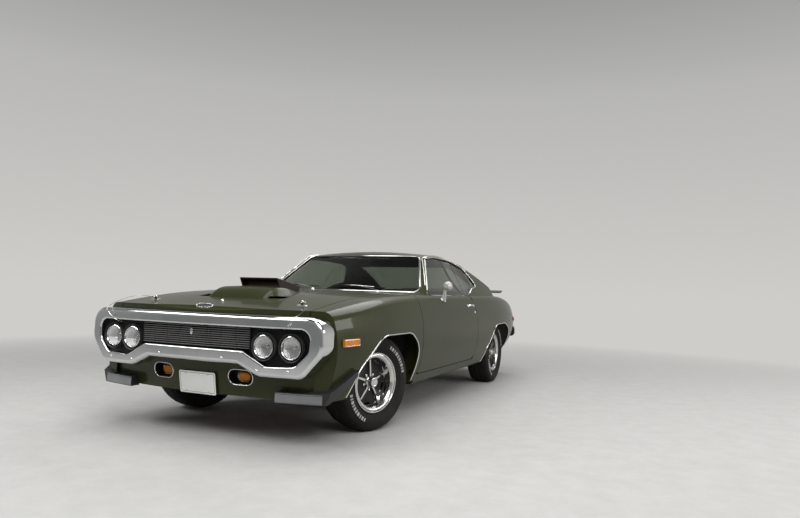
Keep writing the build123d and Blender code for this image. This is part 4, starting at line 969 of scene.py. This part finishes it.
def dress_hood_pins():
    """Scuff plates on the hood; pins with their clips and lanyards on the body."""
    x, y, top = PIN
    skin = Skin("hood")
    close, normal = skin.top(x + 0.028, y)
    far, _ = skin.top(x - 0.028, y)
    at = lying((close + far) / 2, normal, (0, 1, 0))
    hole = [Vector((PIN_HOLE * cos(t), PIN_HOLE * sin(t))) for t in round_points(PLATE_POINTS)]
    outer = evened(box_outline(0.072, 0.04, 0.018, 6), 0.0048)
    outer = [outer[int(i * len(outer) / PLATE_POINTS)] for i in range(PLATE_POINTS)]
    start = min(range(PLATE_POINTS), key=lambda i: (outer[i].normalized() - hole[0].normalized()).length)
    outer = outer[start:] + outer[:start]
    levels = [(outer, -0.001), (offset(outer, -0.0008), 0.0022),
              (offset(hole, 0.0008), 0.0022), (hole, -0.004)]
    plate = rings([[Vector((p.x, p.y, z)) for p in line] for line, z in levels], caps=False)
    both("hood_pin_plate", moved(plate, at), body="hood")
    pin = lathe([(-0.01, 0.0083), (0.0, 0.0083), (0.0035, 0.007), (0.005, 0.004), (0.0052, 0.0003)], 20)
    level = top - 0.009
    clip = tube(smooth_line([(x + a, y + b, level + c) for a, b, c in CLIP], 6), 0.0016, 6)
    eye = [(x + 0.034 + 0.006 * cos(t), y - 0.01, level + 0.004 + 0.006 * sin(t)) for t in round_points(14)]
    ring = tube(eye, 0.001, 5, closed=True)
    both("hood_pin_clip", joined(moved(pin, upright(x, y, top)), clip, ring))
    wire = smooth_line([(x + 0.036, y - 0.014, level + 0.001)] + LANYARD, 8)
    both("hood_pin_lanyard", tube(wire, 0.0013, 6))


HOOD_BADGE = [(-0.066, -0.01, 0.01), (-0.03, -0.02, 0.016), (0.03, -0.02, 0.016), (0.066, -0.01, 0.01),
              (0.066, 0.01, 0.01), (0.03, 0.02, 0.016), (-0.03, 0.02, 0.016), (-0.066, 0.01, 0.01)]
GRILLE_BADGE = [(-0.011, 0.018, 0.004), (0.011, 0.018, 0.004), (0.01, -0.008, 0.006), (0, -0.021, 0.004),
                (-0.01, -0.008, 0.006)]


def dress_hood():
    """Plain badge and washer nozzle on the hood, and a plain badge in the grille."""
    skin = Skin("hood")
    outline = rounded(HOOD_BADGE, 4)
    at = lying(*skin.top(0, -2.455), (0, 1, 0))
    border = frame_round(offset(outline, -0.003), 0.0045, 0.0062)
    add("hood_badge", moved(joined(slab(outline, -0.003, 0.0035, 0.0015), border), at), body="hood")
    inlay = slab(offset(outline, -0.0065), 0.0034, 0.0044, 0.0005)
    add("hood_badge_inlay", moved(inlay, at), BLACKOUT, "hood")
    nozzle = lathe([(-0.002, 0.011), (0.003, 0.011), (0.01, 0.008), (0.013, 0.004), (0.0135, 0.0003)], 20)
    add("hood_nozzle", moved(nozzle, facing(*skin.top(0, -2.285), (0, 1, 0))), body="hood")
    point, _ = Skin("grille").front(-0.012, 0.6835)
    badge = slab(rounded(GRILLE_BADGE, 4), -0.002, 0.005, 0.002)
    add("grille_badge", moved(badge, lying(point, (0, -1, 0))))


SCOOP_MOUTH = [(-0.156, -0.031, 0.004), (0.156, -0.031, 0.004), (0.156, 0.029, 0.006),
               (-0.156, 0.029, 0.006)]
SCOOP_EDGE = [(0.159, -1.612), (0.159, -1.898), (-0.159, -1.898), (-0.159, -1.612)]


def dress_scoop():
    """A brown baffle inside the air scoop's mouth and a raised border along its lid's front and sides."""
    ribs = [flat_strip([(x, -0.028 + 0.007 * k, 0.0028) for k in range(9)], 0.006, 0.003)
            for x in (-0.104, -0.052, 0.0, 0.052, 0.104)]
    baffle = joined(slab(rounded(SCOOP_MOUTH, 4), 0.0, 0.003, 0.001), *ribs)
    add("scoop_baffle", moved(baffle, leaning(0, -1.835, 0.99, 72)), SCOOP_BAFFLE, "scoop")
    skin = Skin("scoop_lid")
    path = evened([Vector(p) for p in SCOOP_EDGE], 0.01, closed=False)
    laid = [skin.top(p.x, p.y, 1.3) for p in path]
    add("scoop_border", moulding(laid, 0.01, 0.003), SCOOP_BROWN, "scoop")


GRILLE_BARS = 10
BAR_Z, BAR_PITCH = 0.602, 0.0132


def dress_grille():
    """Lighter thin edges on the grille's bars."""
    across = [-0.424 + 0.848 * k / 56 for k in range(57)]
    line = [(x, NOSE_Y + 0.0298 + 0.07 * (x / 0.918) ** 2) for x in across]
    parts = []
    for i in range(GRILLE_BARS):
        z = BAR_Z + i * BAR_PITCH + 0.00225
        parts.append(moulding([(Vector((x, y, z)), Vector((0, -1, 0))) for x, y in line], 0.0024, 0.0012))
    add("grille_bar_edges", joined(*parts), GRILLE_EDGE)


def dress_shroud():
    """Black closing panel behind the grille, with pressed ribs; its near-black also paints the shade behind
    the grille.
    """
    panel = slab(box_outline(1.56, 0.33, 0.03), 0.0, 0.004, 0.001)
    ribs = [flat_strip([(-0.74 + 0.148 * k, -0.135 + 0.045 * i, 0.0038) for k in range(11)], 0.014, 0.004)
            for i in range(7)]
    at = lying((0, NOSE_Y + 0.224, 0.612), (0, -1, 0))
    add("grille_shroud", moved(joined(panel, *ribs), at), BLACK_AND_PAINTED_SHADE)


# Wipers: the pivot's place across the car, and where the blade starts and ends
WIPERS = [(0.5, 0.02, 0.47), (-0.12, -0.6, -0.15)]
WIPER_PIVOT = [(-0.004, 0.014), (0.008, 0.014), (0.016, 0.011), (0.02, 0.006), (0.021, 0.0003)]


def dress_cowl():
    """Dark strips laid on the cowl as painted shade in its louvres' openings, and the two wipers."""
    cowl, glass = Skin("cowl_panel"), Skin("windshield")
    slots = []
    for side in (-1, 1):
        for i in range(16):
            laid = [cowl.top(side * (0.16 + 0.022 * i), -1.165 + 0.01 * k, 1.3) for k in range(7)]
            # Each strip is painted shade where a louvre opens
            slots.append(moulding(laid, 0.008, 0.0008))
    add("cowl_louvre_shade", joined(*slots), BLACK_AND_PAINTED_SHADE)
    arms, blades = [], []
    for pivot_x, start, end in WIPERS:
        base, normal = cowl.top(pivot_x, -0.955, 1.3)
        line = []
        for k in range(15):
            point, _ = glass.front(start + (end - start) * k / 14, 1.0 + 0.016 * (1 - k / 14), -1.6)
            line.append(point + Vector((0, -0.012, 0.006)))
        blades.append(tube(line, 0.0042, 6))
        middle = line[6]
        arm = [base + Vector((0, 0, 0.016)), base.lerp(middle, 0.3) + Vector((0, -0.012, 0.02)),
               middle + Vector((0, -0.008, 0.006))]
        bridge = [line[2] + Vector((0, -0.004, 0.004)), middle + Vector((0, -0.01, 0.007)),
                  line[11] + Vector((0, -0.004, 0.004))]
        arms += [moved(lathe(WIPER_PIVOT, 20), facing(base, normal, (0, 1, 0))),
                 tube(smooth_line(arm, 6), 0.0038, 6), tube(bridge, 0.003, 6)]
    add("wiper_arms", joined(*arms))
    add("wiper_blades", joined(*blades), RUBBER)


HANDLE_Y = (0.135, 0.285)
HANDLE_Z = 0.862
BUTTON = [(0.0, 0.0105), (0.014, 0.0105), (0.017, 0.0085), (0.0175, 0.0003)]
LOCK = [(-0.001, 0.013), (0.0025, 0.013), (0.005, 0.0105), (0.004, 0.008), (0.0038, 0.0003)]
# The door's card and its arm rest: along the car, up, corner radius
CARD = [(-0.99, 0.4, 0.05), (0.27, 0.4, 0.06), (0.29, 0.905, 0.05), (-0.95, 0.905, 0.04)]
ARM_REST = [(-0.42, -0.03, 0.025), (0.1, -0.034, 0.028), (0.1, 0.03, 0.028), (-0.42, 0.024, 0.022)]
# From the card's own axes, along the car, up and inwards, to the car's
TURNED_IN = Matrix(((0, 0, -1, 0.8495), (1, 0, 0, 0), (0, 1, 0, 0), (0, 0, 0, 1)))
CRANK_HUB = [(0, 0.02), (0.006, 0.02), (0.012, 0.014), (0.016, 0.011), (0.0165, 0.0003)]
CRANK_KNOB = [(0, 0.009), (0.018, 0.011), (0.026, 0.009), (0.027, 0.0003)]
CRANK_ARM = [(-0.34, 0.5, 0.026), (-0.29, 0.475, 0.034), (-0.235, 0.455, 0.036)]
DOOR_PULL = [(-0.16, 0.655, 0.01), (-0.15, 0.655, 0.034), (-0.06, 0.66, 0.036), (-0.05, 0.66, 0.01)]


def dress_doors():
    """Handles, lock cylinders, belt mouldings and the doors' inner cards with cranks and pulls."""
    skin, glass = Skin("door_left"), Skin("door_glass_left")
    sections = []
    for k in range(17):
        share = k / 16
        point, normal = skin.side(HANDLE_Y[0] + (HANDLE_Y[1] - HANDLE_Y[0]) * share, HANDLE_Z)
        point = point + normal * (0.026 * sin(pi * share) ** 0.35 - 0.003)
        tall = 0.0095 if 0 < k < 16 else 0.008
        sections.append([point + Vector((0.0045 * cos(t), 0, tall * sin(t))) for t in round_points(12)])
    foot = slab(box_outline(0.034, 0.03, 0.011), -0.002, 0.004, 0.003)
    handle = joined(rings(sections), repeated(foot, [lying(*skin.side(y, HANDLE_Z)) for y in HANDLE_Y]),
                    moved(lathe(BUTTON, 24), facing(*skin.side(HANDLE_Y[1] - 0.012, HANDLE_Z))),
                    moved(lathe(LOCK, 28), facing(*skin.side(HANDLE_Y[1] + 0.002, HANDLE_Z - 0.062))))
    both("door_handle", handle, CHROME, "door")

    laid = []
    for k in range(49):
        y = -0.6 + 0.912 * k / 48
        pane, _ = glass.side(y, 0.982)
        laid.append(skin.top(pane.x + 0.016, y))
    both("door_belt_moulding", moulding(laid, 0.015, 0.007), body="door")

    panels = [flat_strip([(-0.86 + 0.125 * i, 0.6 + 0.22 * k / 8, 0.0098) for k in range(9)], 0.104, 0.006)
              for i in range(9)]
    rest = moved(slab(rounded(ARM_REST, 5), 0.0, 0.052, 0.018), Matrix.Translation((0, 0.545, 0.009)))
    card = joined(slab(rounded(CARD, 6), 0.0, 0.01, 0.006), rest, *panels)
    both("door_card", moved(card, TURNED_IN), SEAT_VINYL, "door")
    crank = joined(moved(lathe(CRANK_HUB, 24), upright(-0.34, 0.5, 0.01)), tube(CRANK_ARM, 0.0055, 8),
                   moved(lathe(CRANK_KNOB, 16), upright(-0.235, 0.455, 0.034)),
                   tube(smooth_line(DOOR_PULL, 6), 0.006, 8))
    both("door_crank_and_pull", moved(crank, TURNED_IN), body="door")


def dress_mirrors():
    """Glass set in the back of each mirror's head, with a dark gasket, and the mirror's foot."""
    at = lying((0.963, -0.49, 1.039), (0, 1, 0))
    gasket = frame_round(box_outline(0.064, 0.066, 0.028), 0.006, 0.003)
    both("mirror_gasket", moved(gasket, at), RUBBER, "door")
    pane = slab(box_outline(0.06, 0.062, 0.026), -0.0005, 0.0012, 0.0004)
    both("mirror_glass", moved(pane, at), MIRROR, "door")
    base = slab(box_outline(0.032, 0.072, 0.014), -0.003, 0.009, 0.007)
    at = lying(*Skin("door_left").top(0.925, -0.518), (0, 1, 0))
    both("mirror_base", moved(base, at), CHROME, "door")


# Lamps on the sides: name, lens, place along the car and up
SIDE_MARKERS = [("front_marker", AMBER, -2.232, 0.652), ("rear_marker", RED_LENS, 2.16, 0.69)]
MARKER_HALF = (0.0832, 0.0232)


def lifted(laid, lift):
    """Places on a surface, moved a little off it."""
    return [(point + lift * normal, normal) for point, normal in laid]


def dress_markers():
    """Moulded lenses over the side lamps, with a thin border and a bar between their two cells."""
    skin = Skin("marker_lamps")
    for name, look, y, z in SIDE_MARKERS:
        sections = []
        for u in [k / 8 - 1 for k in range(17)]:
            front = []
            for v in [j / 4 - 1 for j in range(9)]:
                point, _ = skin.side(y + 0.0805 * u, z + 0.0212 * v)
                lift = 0.0004 + 0.0022 * (1 - u ** 8) * (1 - v ** 8)
                front.append(Vector((point.x + lift, y + MARKER_HALF[0] * u, z + MARKER_HALF[1] * v)))
            sections.append(front + [p - Vector((0.013, 0, 0)) for p in reversed(front)])
        both(name + "_lens", rings(sections), look, smooth=30.0)
        laid = [skin.side(p.x + y, p.y + z) for p in evened(box_outline(0.152, 0.036, 0.006), 0.004)]
        bar = [skin.side(y, z + 0.016 * k / 4) for k in range(-4, 5)]
        both(name + "_border", joined(moulding(lifted(laid, 0.0024), 0.0035, 0.002, closed=True),
                                      moulding(lifted(bar, 0.0022), 0.004, 0.002)))


TAIL_LENSES = [(0.25, 0.376), (0.386, 0.512), (0.522, 0.648)]
TAIL_LENS_Z = (0.64, 0.735)
EXHAUST_TIP = [(-0.1, 0.0285), (-0.02, 0.03), (0.045, 0.033), (0.05, 0.0325), (0.048, 0.03), (-0.02, 0.027),
               (-0.098, 0.0262)]


def dress_tail():
    """Bright borders round the tail lamps, and the exhaust tips."""
    skin = Skin("tail_lamps")
    borders = []
    base, top = TAIL_LENS_Z
    for low, high in TAIL_LENSES:
        middle = Vector(((low + high) / 2, (base + top) / 2))
        outline = evened(box_outline(high - low - 0.01, top - base - 0.01, 0.01), 0.006)
        laid = [skin.back(p.x + middle.x, p.y + middle.y) for p in outline]
        borders.append(moulding(laid, 0.008, 0.004, closed=True))
    both("tail_lamp_borders", joined(*borders))
    tip = moved(lathe(EXHAUST_TIP, 40, closed=True), leaning(0.3, TAIL_Y - 0.205, 0.215, 90, "Z"))
    both("exhaust_tip", tip)


def dress_spoilers():
    """Grey strips over each black chin spoiler's front as painted light: a wide one for its lit face and a
    thin painted highlight along its top.
    """
    skin = Skin("chin_spoilers")
    parts = []
    # Height and width of each strip: the lit face, then the painted highlight along the top
    for z, width in ((0.3145, 0.05), (0.3445, 0.006)):
        laid = [skin.front(0.579 + 0.29 * k / 30, z, -3.0) for k in range(31)]
        parts.append(moulding(laid, width, 0.004))
    both("spoiler_painted_light", joined(*parts), SPOILER_PAINTED_LIGHT)


# Inside

def lining(node, look, wanted, lift):
    """A thin skin over the faces of a node that are wanted, given each face's middle and normal."""
    mesh = NODES[node].data
    chosen = [p for p in mesh.polygons if wanted(p.center, p.normal)]
    index, pushes = {}, []
    for polygon in chosen:
        for i in polygon.vertices:
            if i not in index:
                index[i] = len(pushes)
                pushes.append(Vector((0, 0, 0)))
            pushes[index[i]] += polygon.normal
    verts = [mesh.vertices[i].co + pushes[k].normalized() * lift for i, k in index.items()]
    add(node + "_lining", (verts, [[index[i] for i in p.vertices] for p in chosen]), look)


PAD_BORDER = 0.05
PAD_GROOVE = 0.007
PAD_STEPS = 44


def power(value, exponent):
    """A number's power that keeps its sign."""
    return abs(value) ** exponent * (1 if value >= 0 else -1)


def pillow(width, length, thick, channels, across):
    """A stuffed pad with lengthwise channels on its upper side; X across, Y along."""
    sections = []
    for i in range(PAD_STEPS + 1):
        v = -cos(pi * i / PAD_STEPS)
        swell = max((1 - abs(v) ** 6) ** (1 / 3) if abs(v) < 1 else 0.0, 0.02)
        half = width / 2 * (0.9 + 0.1 * swell)
        y = v * length / 2
        ring = []
        for t in round_points(across):
            x = half * power(cos(t), 0.45)
            z = thick / 2 * power(sin(t), 0.55) * swell
            u = abs(x) / (width / 2 - PAD_BORDER)
            if z > 0 and u < 1 and abs(y) < length / 2 - PAD_BORDER:
                wave = abs(sin(pi * channels * (x / (width - 2 * PAD_BORDER) + 0.5)))
                z -= PAD_GROOVE * (1 - wave) ** 3
                z += 0.01 * (1 - u * u)
            ring.append((x, y, z))
        sections.append(ring)
    return rings(sections)


def pad(width, length, thick, channels, across):
    """A pad with piping round its edge."""
    outline = evened(box_outline(width * 0.995, length * 0.97, 0.06), 0.02)
    piping = tube([(p.x, p.y, 0.004) for p in outline], 0.0035, 6, closed=True)
    return joined(pillow(width, length, thick, channels, across), piping)


def add_pad(name, shape):
    """A pad in seat vinyl."""
    piece = add(name, shape, SEAT_VINYL, smooth=50.0)
    return piece


def dress_seats():
    """Padded seats in pleated vinyl on their shells and runners, in place of the plain solids."""
    base_at = leaning(SEAT_X, -0.095, 0.415, 3)
    back_at = leaning(SEAT_X, 0.262, 0.655, 72)
    for name, at, size in (("seat_cushion", base_at, (0.44, 0.48, 0.14)),
                           ("seat_back", back_at, (0.43, 0.5, 0.13))):
        shape = moved(pad(*size, 6, 60), at)
        for side, half in (("_left", shape), ("_right", other_side(shape))):
            piece = add_pad("front_" + name + side, half)
            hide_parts("front_seats")
    shell = joined(
        moved(slab(box_outline(0.4, 0.43, 0.06), -0.1, -0.045, 0.012), base_at),
        moved(slab(box_outline(0.39, 0.45, 0.08), -0.078, -0.04, 0.01), back_at),
    )
    both("seat_shell", shell, DASH_VINYL)
    rails = []
    for x in (SEAT_X - 0.165, SEAT_X + 0.165):
        rail = slab(box_outline(0.43, 0.032, 0.004, 3), 0.0, 0.022, 0.003)
        legs = [tube([(x, y, 0.292), (x, y, 0.345)], 0.011, 10) for y in (-0.24, 0.08)]
        rails += [moved(rail, leaning(x, -0.08, 0.2735, 90, "Z")), *legs]
    both("seat_runners", joined(*rails), UNDERBODY)
    for name, at, size in (("rear_seat_cushion", leaning(0, 0.748, 0.605, -2), (1.18, 0.4, 0.13)),
                           ("rear_seat_back", leaning(0, 1.06, 0.765, 62), (1.18, 0.33, 0.12))):
        piece = add_pad(name, moved(pad(*size, 16, 150), at))
        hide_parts("rear_seat")


GAUGES = [(0.235, 0.036), (0.32, 0.05), (0.43, 0.05), (0.52, 0.036)]
COLUMN_LOW, COLUMN_HIGH = Vector((0.37, -0.606, 0.735)), Vector((0.37, -0.405, 0.815))
HORN_PAD = [(-0.03, 0.034), (0.004, 0.046), (0.016, 0.05), (0.024, 0.044), (0.03, 0.03), (0.031, 0.0003)]
MIRROR_HEAD = [(-0.118, -0.03, 0.022), (0.118, -0.03, 0.022), (0.11, 0.03, 0.022), (-0.11, 0.03, 0.022)]


def dress_inside():
    """Headliner, carpet, gauges, the dashboard's moulding, horn pad and rear-view mirror."""
    lining("roof", HEADLINER, lambda c, n: n.z < -0.55 and c.z > 1.15, 0.002)
    lining("floor_pan", CARPET,
           lambda c, n: n.z > 0.25 and -0.98 < c.y < 1.02 and abs(c.x) < 0.829 and c.z < 0.6, 0.003)
    dash = Skin("dashboard")
    rims, dials = [], []
    for x, radius in GAUGES:
        at = facing(*dash.back(x, 0.79, 0.2))
        rim = [(-0.002, radius), (0.008, radius), (0.01, radius - 0.003), (0.006, radius - 0.006)]
        rims.append(moved(lathe(rim, 40), at))
        dials.append(moved(lathe([(0.002, radius - 0.004), (0.0015, 0.0003)], 40), at))
    add("gauge_rims", joined(*rims))
    add("gauge_faces", joined(*dials), BLACK_AND_PAINTED_SHADE)
    laid = [dash.back(-0.76 + 1.52 * k / 60, 0.868, 0.2) for k in range(61)]
    add("dash_moulding", moulding(laid, 0.012, 0.004))
    at = facing(COLUMN_HIGH, (COLUMN_HIGH - COLUMN_LOW).normalized())
    add("horn_pad", moved(lathe(HORN_PAD, 40), at), DASH_VINYL)
    point, _ = Skin("windshield").front(0, 1.262, -1.6)
    head = point + Vector((0, 0.078, -0.028))
    stalk = [point + Vector((0, 0.01, 0)), point + Vector((0, 0.045, -0.006)),
             head + Vector((0, -0.016, 0))]
    mirror = moved(slab(rounded(MIRROR_HEAD, 6), 0.0, 0.018, 0.008), lying(head, (0, -1, 0.05)))
    add("cabin_mirror", joined(mirror, tube(stalk, 0.006, 8)), DASH_VINYL)


# Under the hood

def dress_engine_bay():
    """Black shelves that close the engine bay from the aprons to the fenders, with their bolts."""
    skin = Skin("fenders")
    sections, bolts = [], []
    for k in range(45):
        y = -2.35 + 1.3 * k / 44
        side, _ = skin.cast((0.7, y, 0.802), (1, 0, 0))
        wide = min(side.x, 0.985) - 0.001
        flat = 0.801 - (0.003 if k % 4 == 2 else 0.0)
        sections.append([(0.684, y, 0.809), (0.705, y, 0.8085), (0.73, y, flat), (wide - 0.03, y, flat),
                         (wide, y, 0.806), (wide, y, 0.8), (0.725, y, flat - 0.007), (0.684, y, 0.8025)])
        if k % 6 == 3:
            bolts.append(moved(lathe(BOLT, 12), upright(0.697, y, 0.8088)))
    both("bay_shelf", joined(rings(sections), *bolts), BLACKOUT)


AIR_CLEANER = [(0.0, 0.1), (0.0, 0.17), (0.004, 0.176), (0.05, 0.176), (0.056, 0.17), (0.06, 0.12),
               (0.066, 0.11), (0.068, 0.03), (0.08, 0.01), (0.081, 0.0003)]
HOSE = [(0.12, -2.245, 0.7), (0.12, -2.2, 0.735), (0.09, -2.15, 0.755), (0.06, -2.095, 0.765)]


def dress_engine():
    """Valve covers, air cleaner and a hose on the engine's plain block."""
    covers = []
    screw = lathe([(0.05, 0.008), (0.058, 0.008), (0.06, 0.0003)], 12)
    for side in (-1, 1):
        at = leaning(side * 0.165, -1.76, 0.759, side * 14, "Y")
        covers += [moved(slab(box_outline(0.15, 0.56, 0.03), -0.015, 0.052, 0.018), at),
                   repeated(screw, [at @ upright(0, y, 0) for y in (-0.22, 0.0, 0.22)])]
    add("valve_covers", joined(*covers), ENGINE_ENAMEL)
    add("air_cleaner", moved(lathe(AIR_CLEANER, 56), upright(0, -1.74, 0.79)), BLACKOUT)
    add("radiator_hose", tube(smooth_line(HOSE, 8), 0.02, 14), RUBBER)


dress_wheels()
dress_arches()
dress_windows()
dress_headlamps()
dress_bumpers()
dress_plate()
dress_turn_lamps()
dress_hood_pins()
dress_hood()
dress_scoop()
dress_grille()
dress_shroud()
dress_cowl()
dress_doors()
dress_mirrors()
dress_markers()
dress_tail()
dress_spoilers()
dress_seats()
dress_inside()
dress_engine_bay()
dress_engine()


# Stage, light and camera

BACKDROP = rgb(0.62, 0.61, 0.59)
BACKDROP_HIGH = rgb(0.4, 0.4, 0.39)
BACKDROP_TOP = rgb(0.08, 0.08, 0.08)
BACKDROP_BEHIND = rgb(0.24, 0.24, 0.24)
SKY_STRENGTH = 0.55
FLOOR_HALF = 60
# Lamps: name, place, what it points at, width, height, watts
LAMPS = [
    ("key_softbox", (5.0, -6.0, 6.0), (0.3, -1.0, 0.5), 5.0, 4.0, 420.0),
    ("hood_strip", (-3.0, -5.5, 4.2), (0, -2.0, 0.8), 5.0, 1.6, 180.0),
    ("side_strip", (6.5, 1.0, 2.6), (0.9, 0.0, 0.6), 6.0, 1.2, 140.0),
    ("back_softbox", (1.0, 7.5, 8.6), (0.0, 1.0, 0.8), 9.0, 4.0, 420.0),
    ("top_softbox", (0.0, -1.8, 6.5), (0.0, -1.8, 0.0), 5.0, 5.0, 260.0),
]


def seen_directly(tree):
    """1 for rays from the camera, off metal and through glass, 0 for those that light the scene."""
    path = tree.nodes.new("ShaderNodeLightPath").outputs
    share = path["Is Camera Ray"]
    for kind in ("Is Glossy Ray", "Is Transmission Ray"):
        share = calc(tree, "MAXIMUM", share, path[kind])
    return share


def wall(tree, direction):
    """The backdrop low down; darker behind the camera, to give shape to metal that faces that way."""
    return mixed(tree, ramp(tree, part_of(tree, direction, "Y"), -0.75, 0.1), BACKDROP_BEHIND, BACKDROP)


def blend_shaders(tree, share, first, second, out):
    """Sends two shaders, mixed, to the output."""
    mix = put(tree, "ShaderNodeMixShader", {0: share, 1: first.outputs[0], 2: second.outputs[0]})
    tree.links.new(mix.outputs[0], tree.nodes[out].inputs["Surface"])


def make_floor():
    """A pale floor that turns into the backdrop with distance."""
    look = bpy.data.materials.new("pale_floor")
    look.use_nodes = True
    tree = look.node_tree
    shader = tree.nodes["Principled BSDF"]
    grain = ramp(tree, noise(tree, 6.0, 8.0, 0.7), 0.35, 0.65)
    colour = mixed(tree, grain, rgb(0.4, 0.395, 0.38), rgb(0.45, 0.44, 0.425))
    send(tree, shader.inputs, {"Base Color": colour})
    shader.inputs["Roughness"].default_value = 0.75
    where = place_on(tree)
    distance = put(tree, "ShaderNodeVectorMath", {0: where}, operation="LENGTH").outputs["Value"]
    direction = put(tree, "ShaderNodeVectorMath", {0: where}, operation="NORMALIZE").outputs["Vector"]
    share = calc(tree, "MULTIPLY", ramp(tree, distance, 3.4, 8.0), seen_directly(tree))
    colour = mixed(tree, ramp(tree, distance, 4.5, 10.0), BACKDROP, wall(tree, direction))
    far = put(tree, "ShaderNodeEmission", {"Color": colour, "Strength": 1.0})
    blend_shaders(tree, share, shader, far, "Material Output")
    mesh = bpy.data.meshes.new("pale_floor")
    half = FLOOR_HALF
    corners = [(-half, -half, 0), (half, -half, 0), (half, half, 0), (-half, half, 0)]
    mesh.from_pydata(corners, [], [(0, 1, 2, 3)])
    mesh.materials.append(look)
    floor = bpy.data.objects.new("pale_floor", mesh)
    bpy.context.scene.collection.objects.link(floor)


def make_world():
    """Even soft light from all round, seen as a backdrop that darkens upwards."""
    world = bpy.data.worlds.new("studio")
    bpy.context.scene.world = world
    world.use_nodes = True
    tree = world.node_tree
    sky = tree.nodes["Background"]
    where = tree.nodes.new("ShaderNodeTexCoord").outputs["Generated"]
    height = part_of(tree, where, "Z")
    glow = mixed(tree, ramp(tree, height, -0.02, 0.5), rgb(0.62, 0.62, 0.6), rgb(0.34, 0.36, 0.38))
    send(tree, sky.inputs, {"Color": glow})
    sky.inputs["Strength"].default_value = SKY_STRENGTH
    rising = mixed(tree, ramp(tree, height, 0.0, 0.45), wall(tree, where), BACKDROP_HIGH)
    rising = mixed(tree, ramp(tree, height, 0.3, 0.85), rising, BACKDROP_TOP)
    seen = put(tree, "ShaderNodeBackground", {"Color": rising, "Strength": 1.0})
    blend_shaders(tree, seen_directly(tree), sky, seen, "World Output")


def make_lamps():
    """Large soft lamps round the car."""
    for name, at, to, width, height, watts in LAMPS:
        lamp = bpy.data.lights.new(name, "AREA")
        lamp.shape = "RECTANGLE"
        lamp.size, lamp.size_y, lamp.energy = width, height, watts
        piece = bpy.data.objects.new(name, lamp)
        piece.location = at
        piece.rotation_euler = (Vector(to) - Vector(at)).to_track_quat("-Z", "Y").to_euler()
        bpy.context.scene.collection.objects.link(piece)


def make_camera():
    """The photograph's camera; the picture's size, 800 by 518, is not set here."""
    yaw, pitch, roll = radians(-23.79), radians(3.11), radians(1.78)
    forward = Vector((sin(yaw) * cos(pitch), cos(yaw) * cos(pitch), sin(pitch)))
    level = Vector((cos(yaw), -sin(yaw), 0))
    upward = level.cross(forward)
    right = cos(roll) * level + sin(roll) * upward
    up = cos(roll) * upward - sin(roll) * level
    data = bpy.data.cameras.new("camera")
    data.lens, data.sensor_width, data.sensor_fit = 28.2, 36.0, "HORIZONTAL"
    camera = bpy.data.objects.new("camera", data)
    axes = Matrix((right, up, -forward)).transposed().to_4x4()
    camera.matrix_world = Matrix.Translation((2.7703, -5.6521, 0.9658)) @ axes
    bpy.context.scene.collection.objects.link(camera)
    bpy.context.scene.camera = camera


make_floor()
make_world()
make_lamps()
make_camera()
bpy.context.scene.view_settings.view_transform = "Standard"
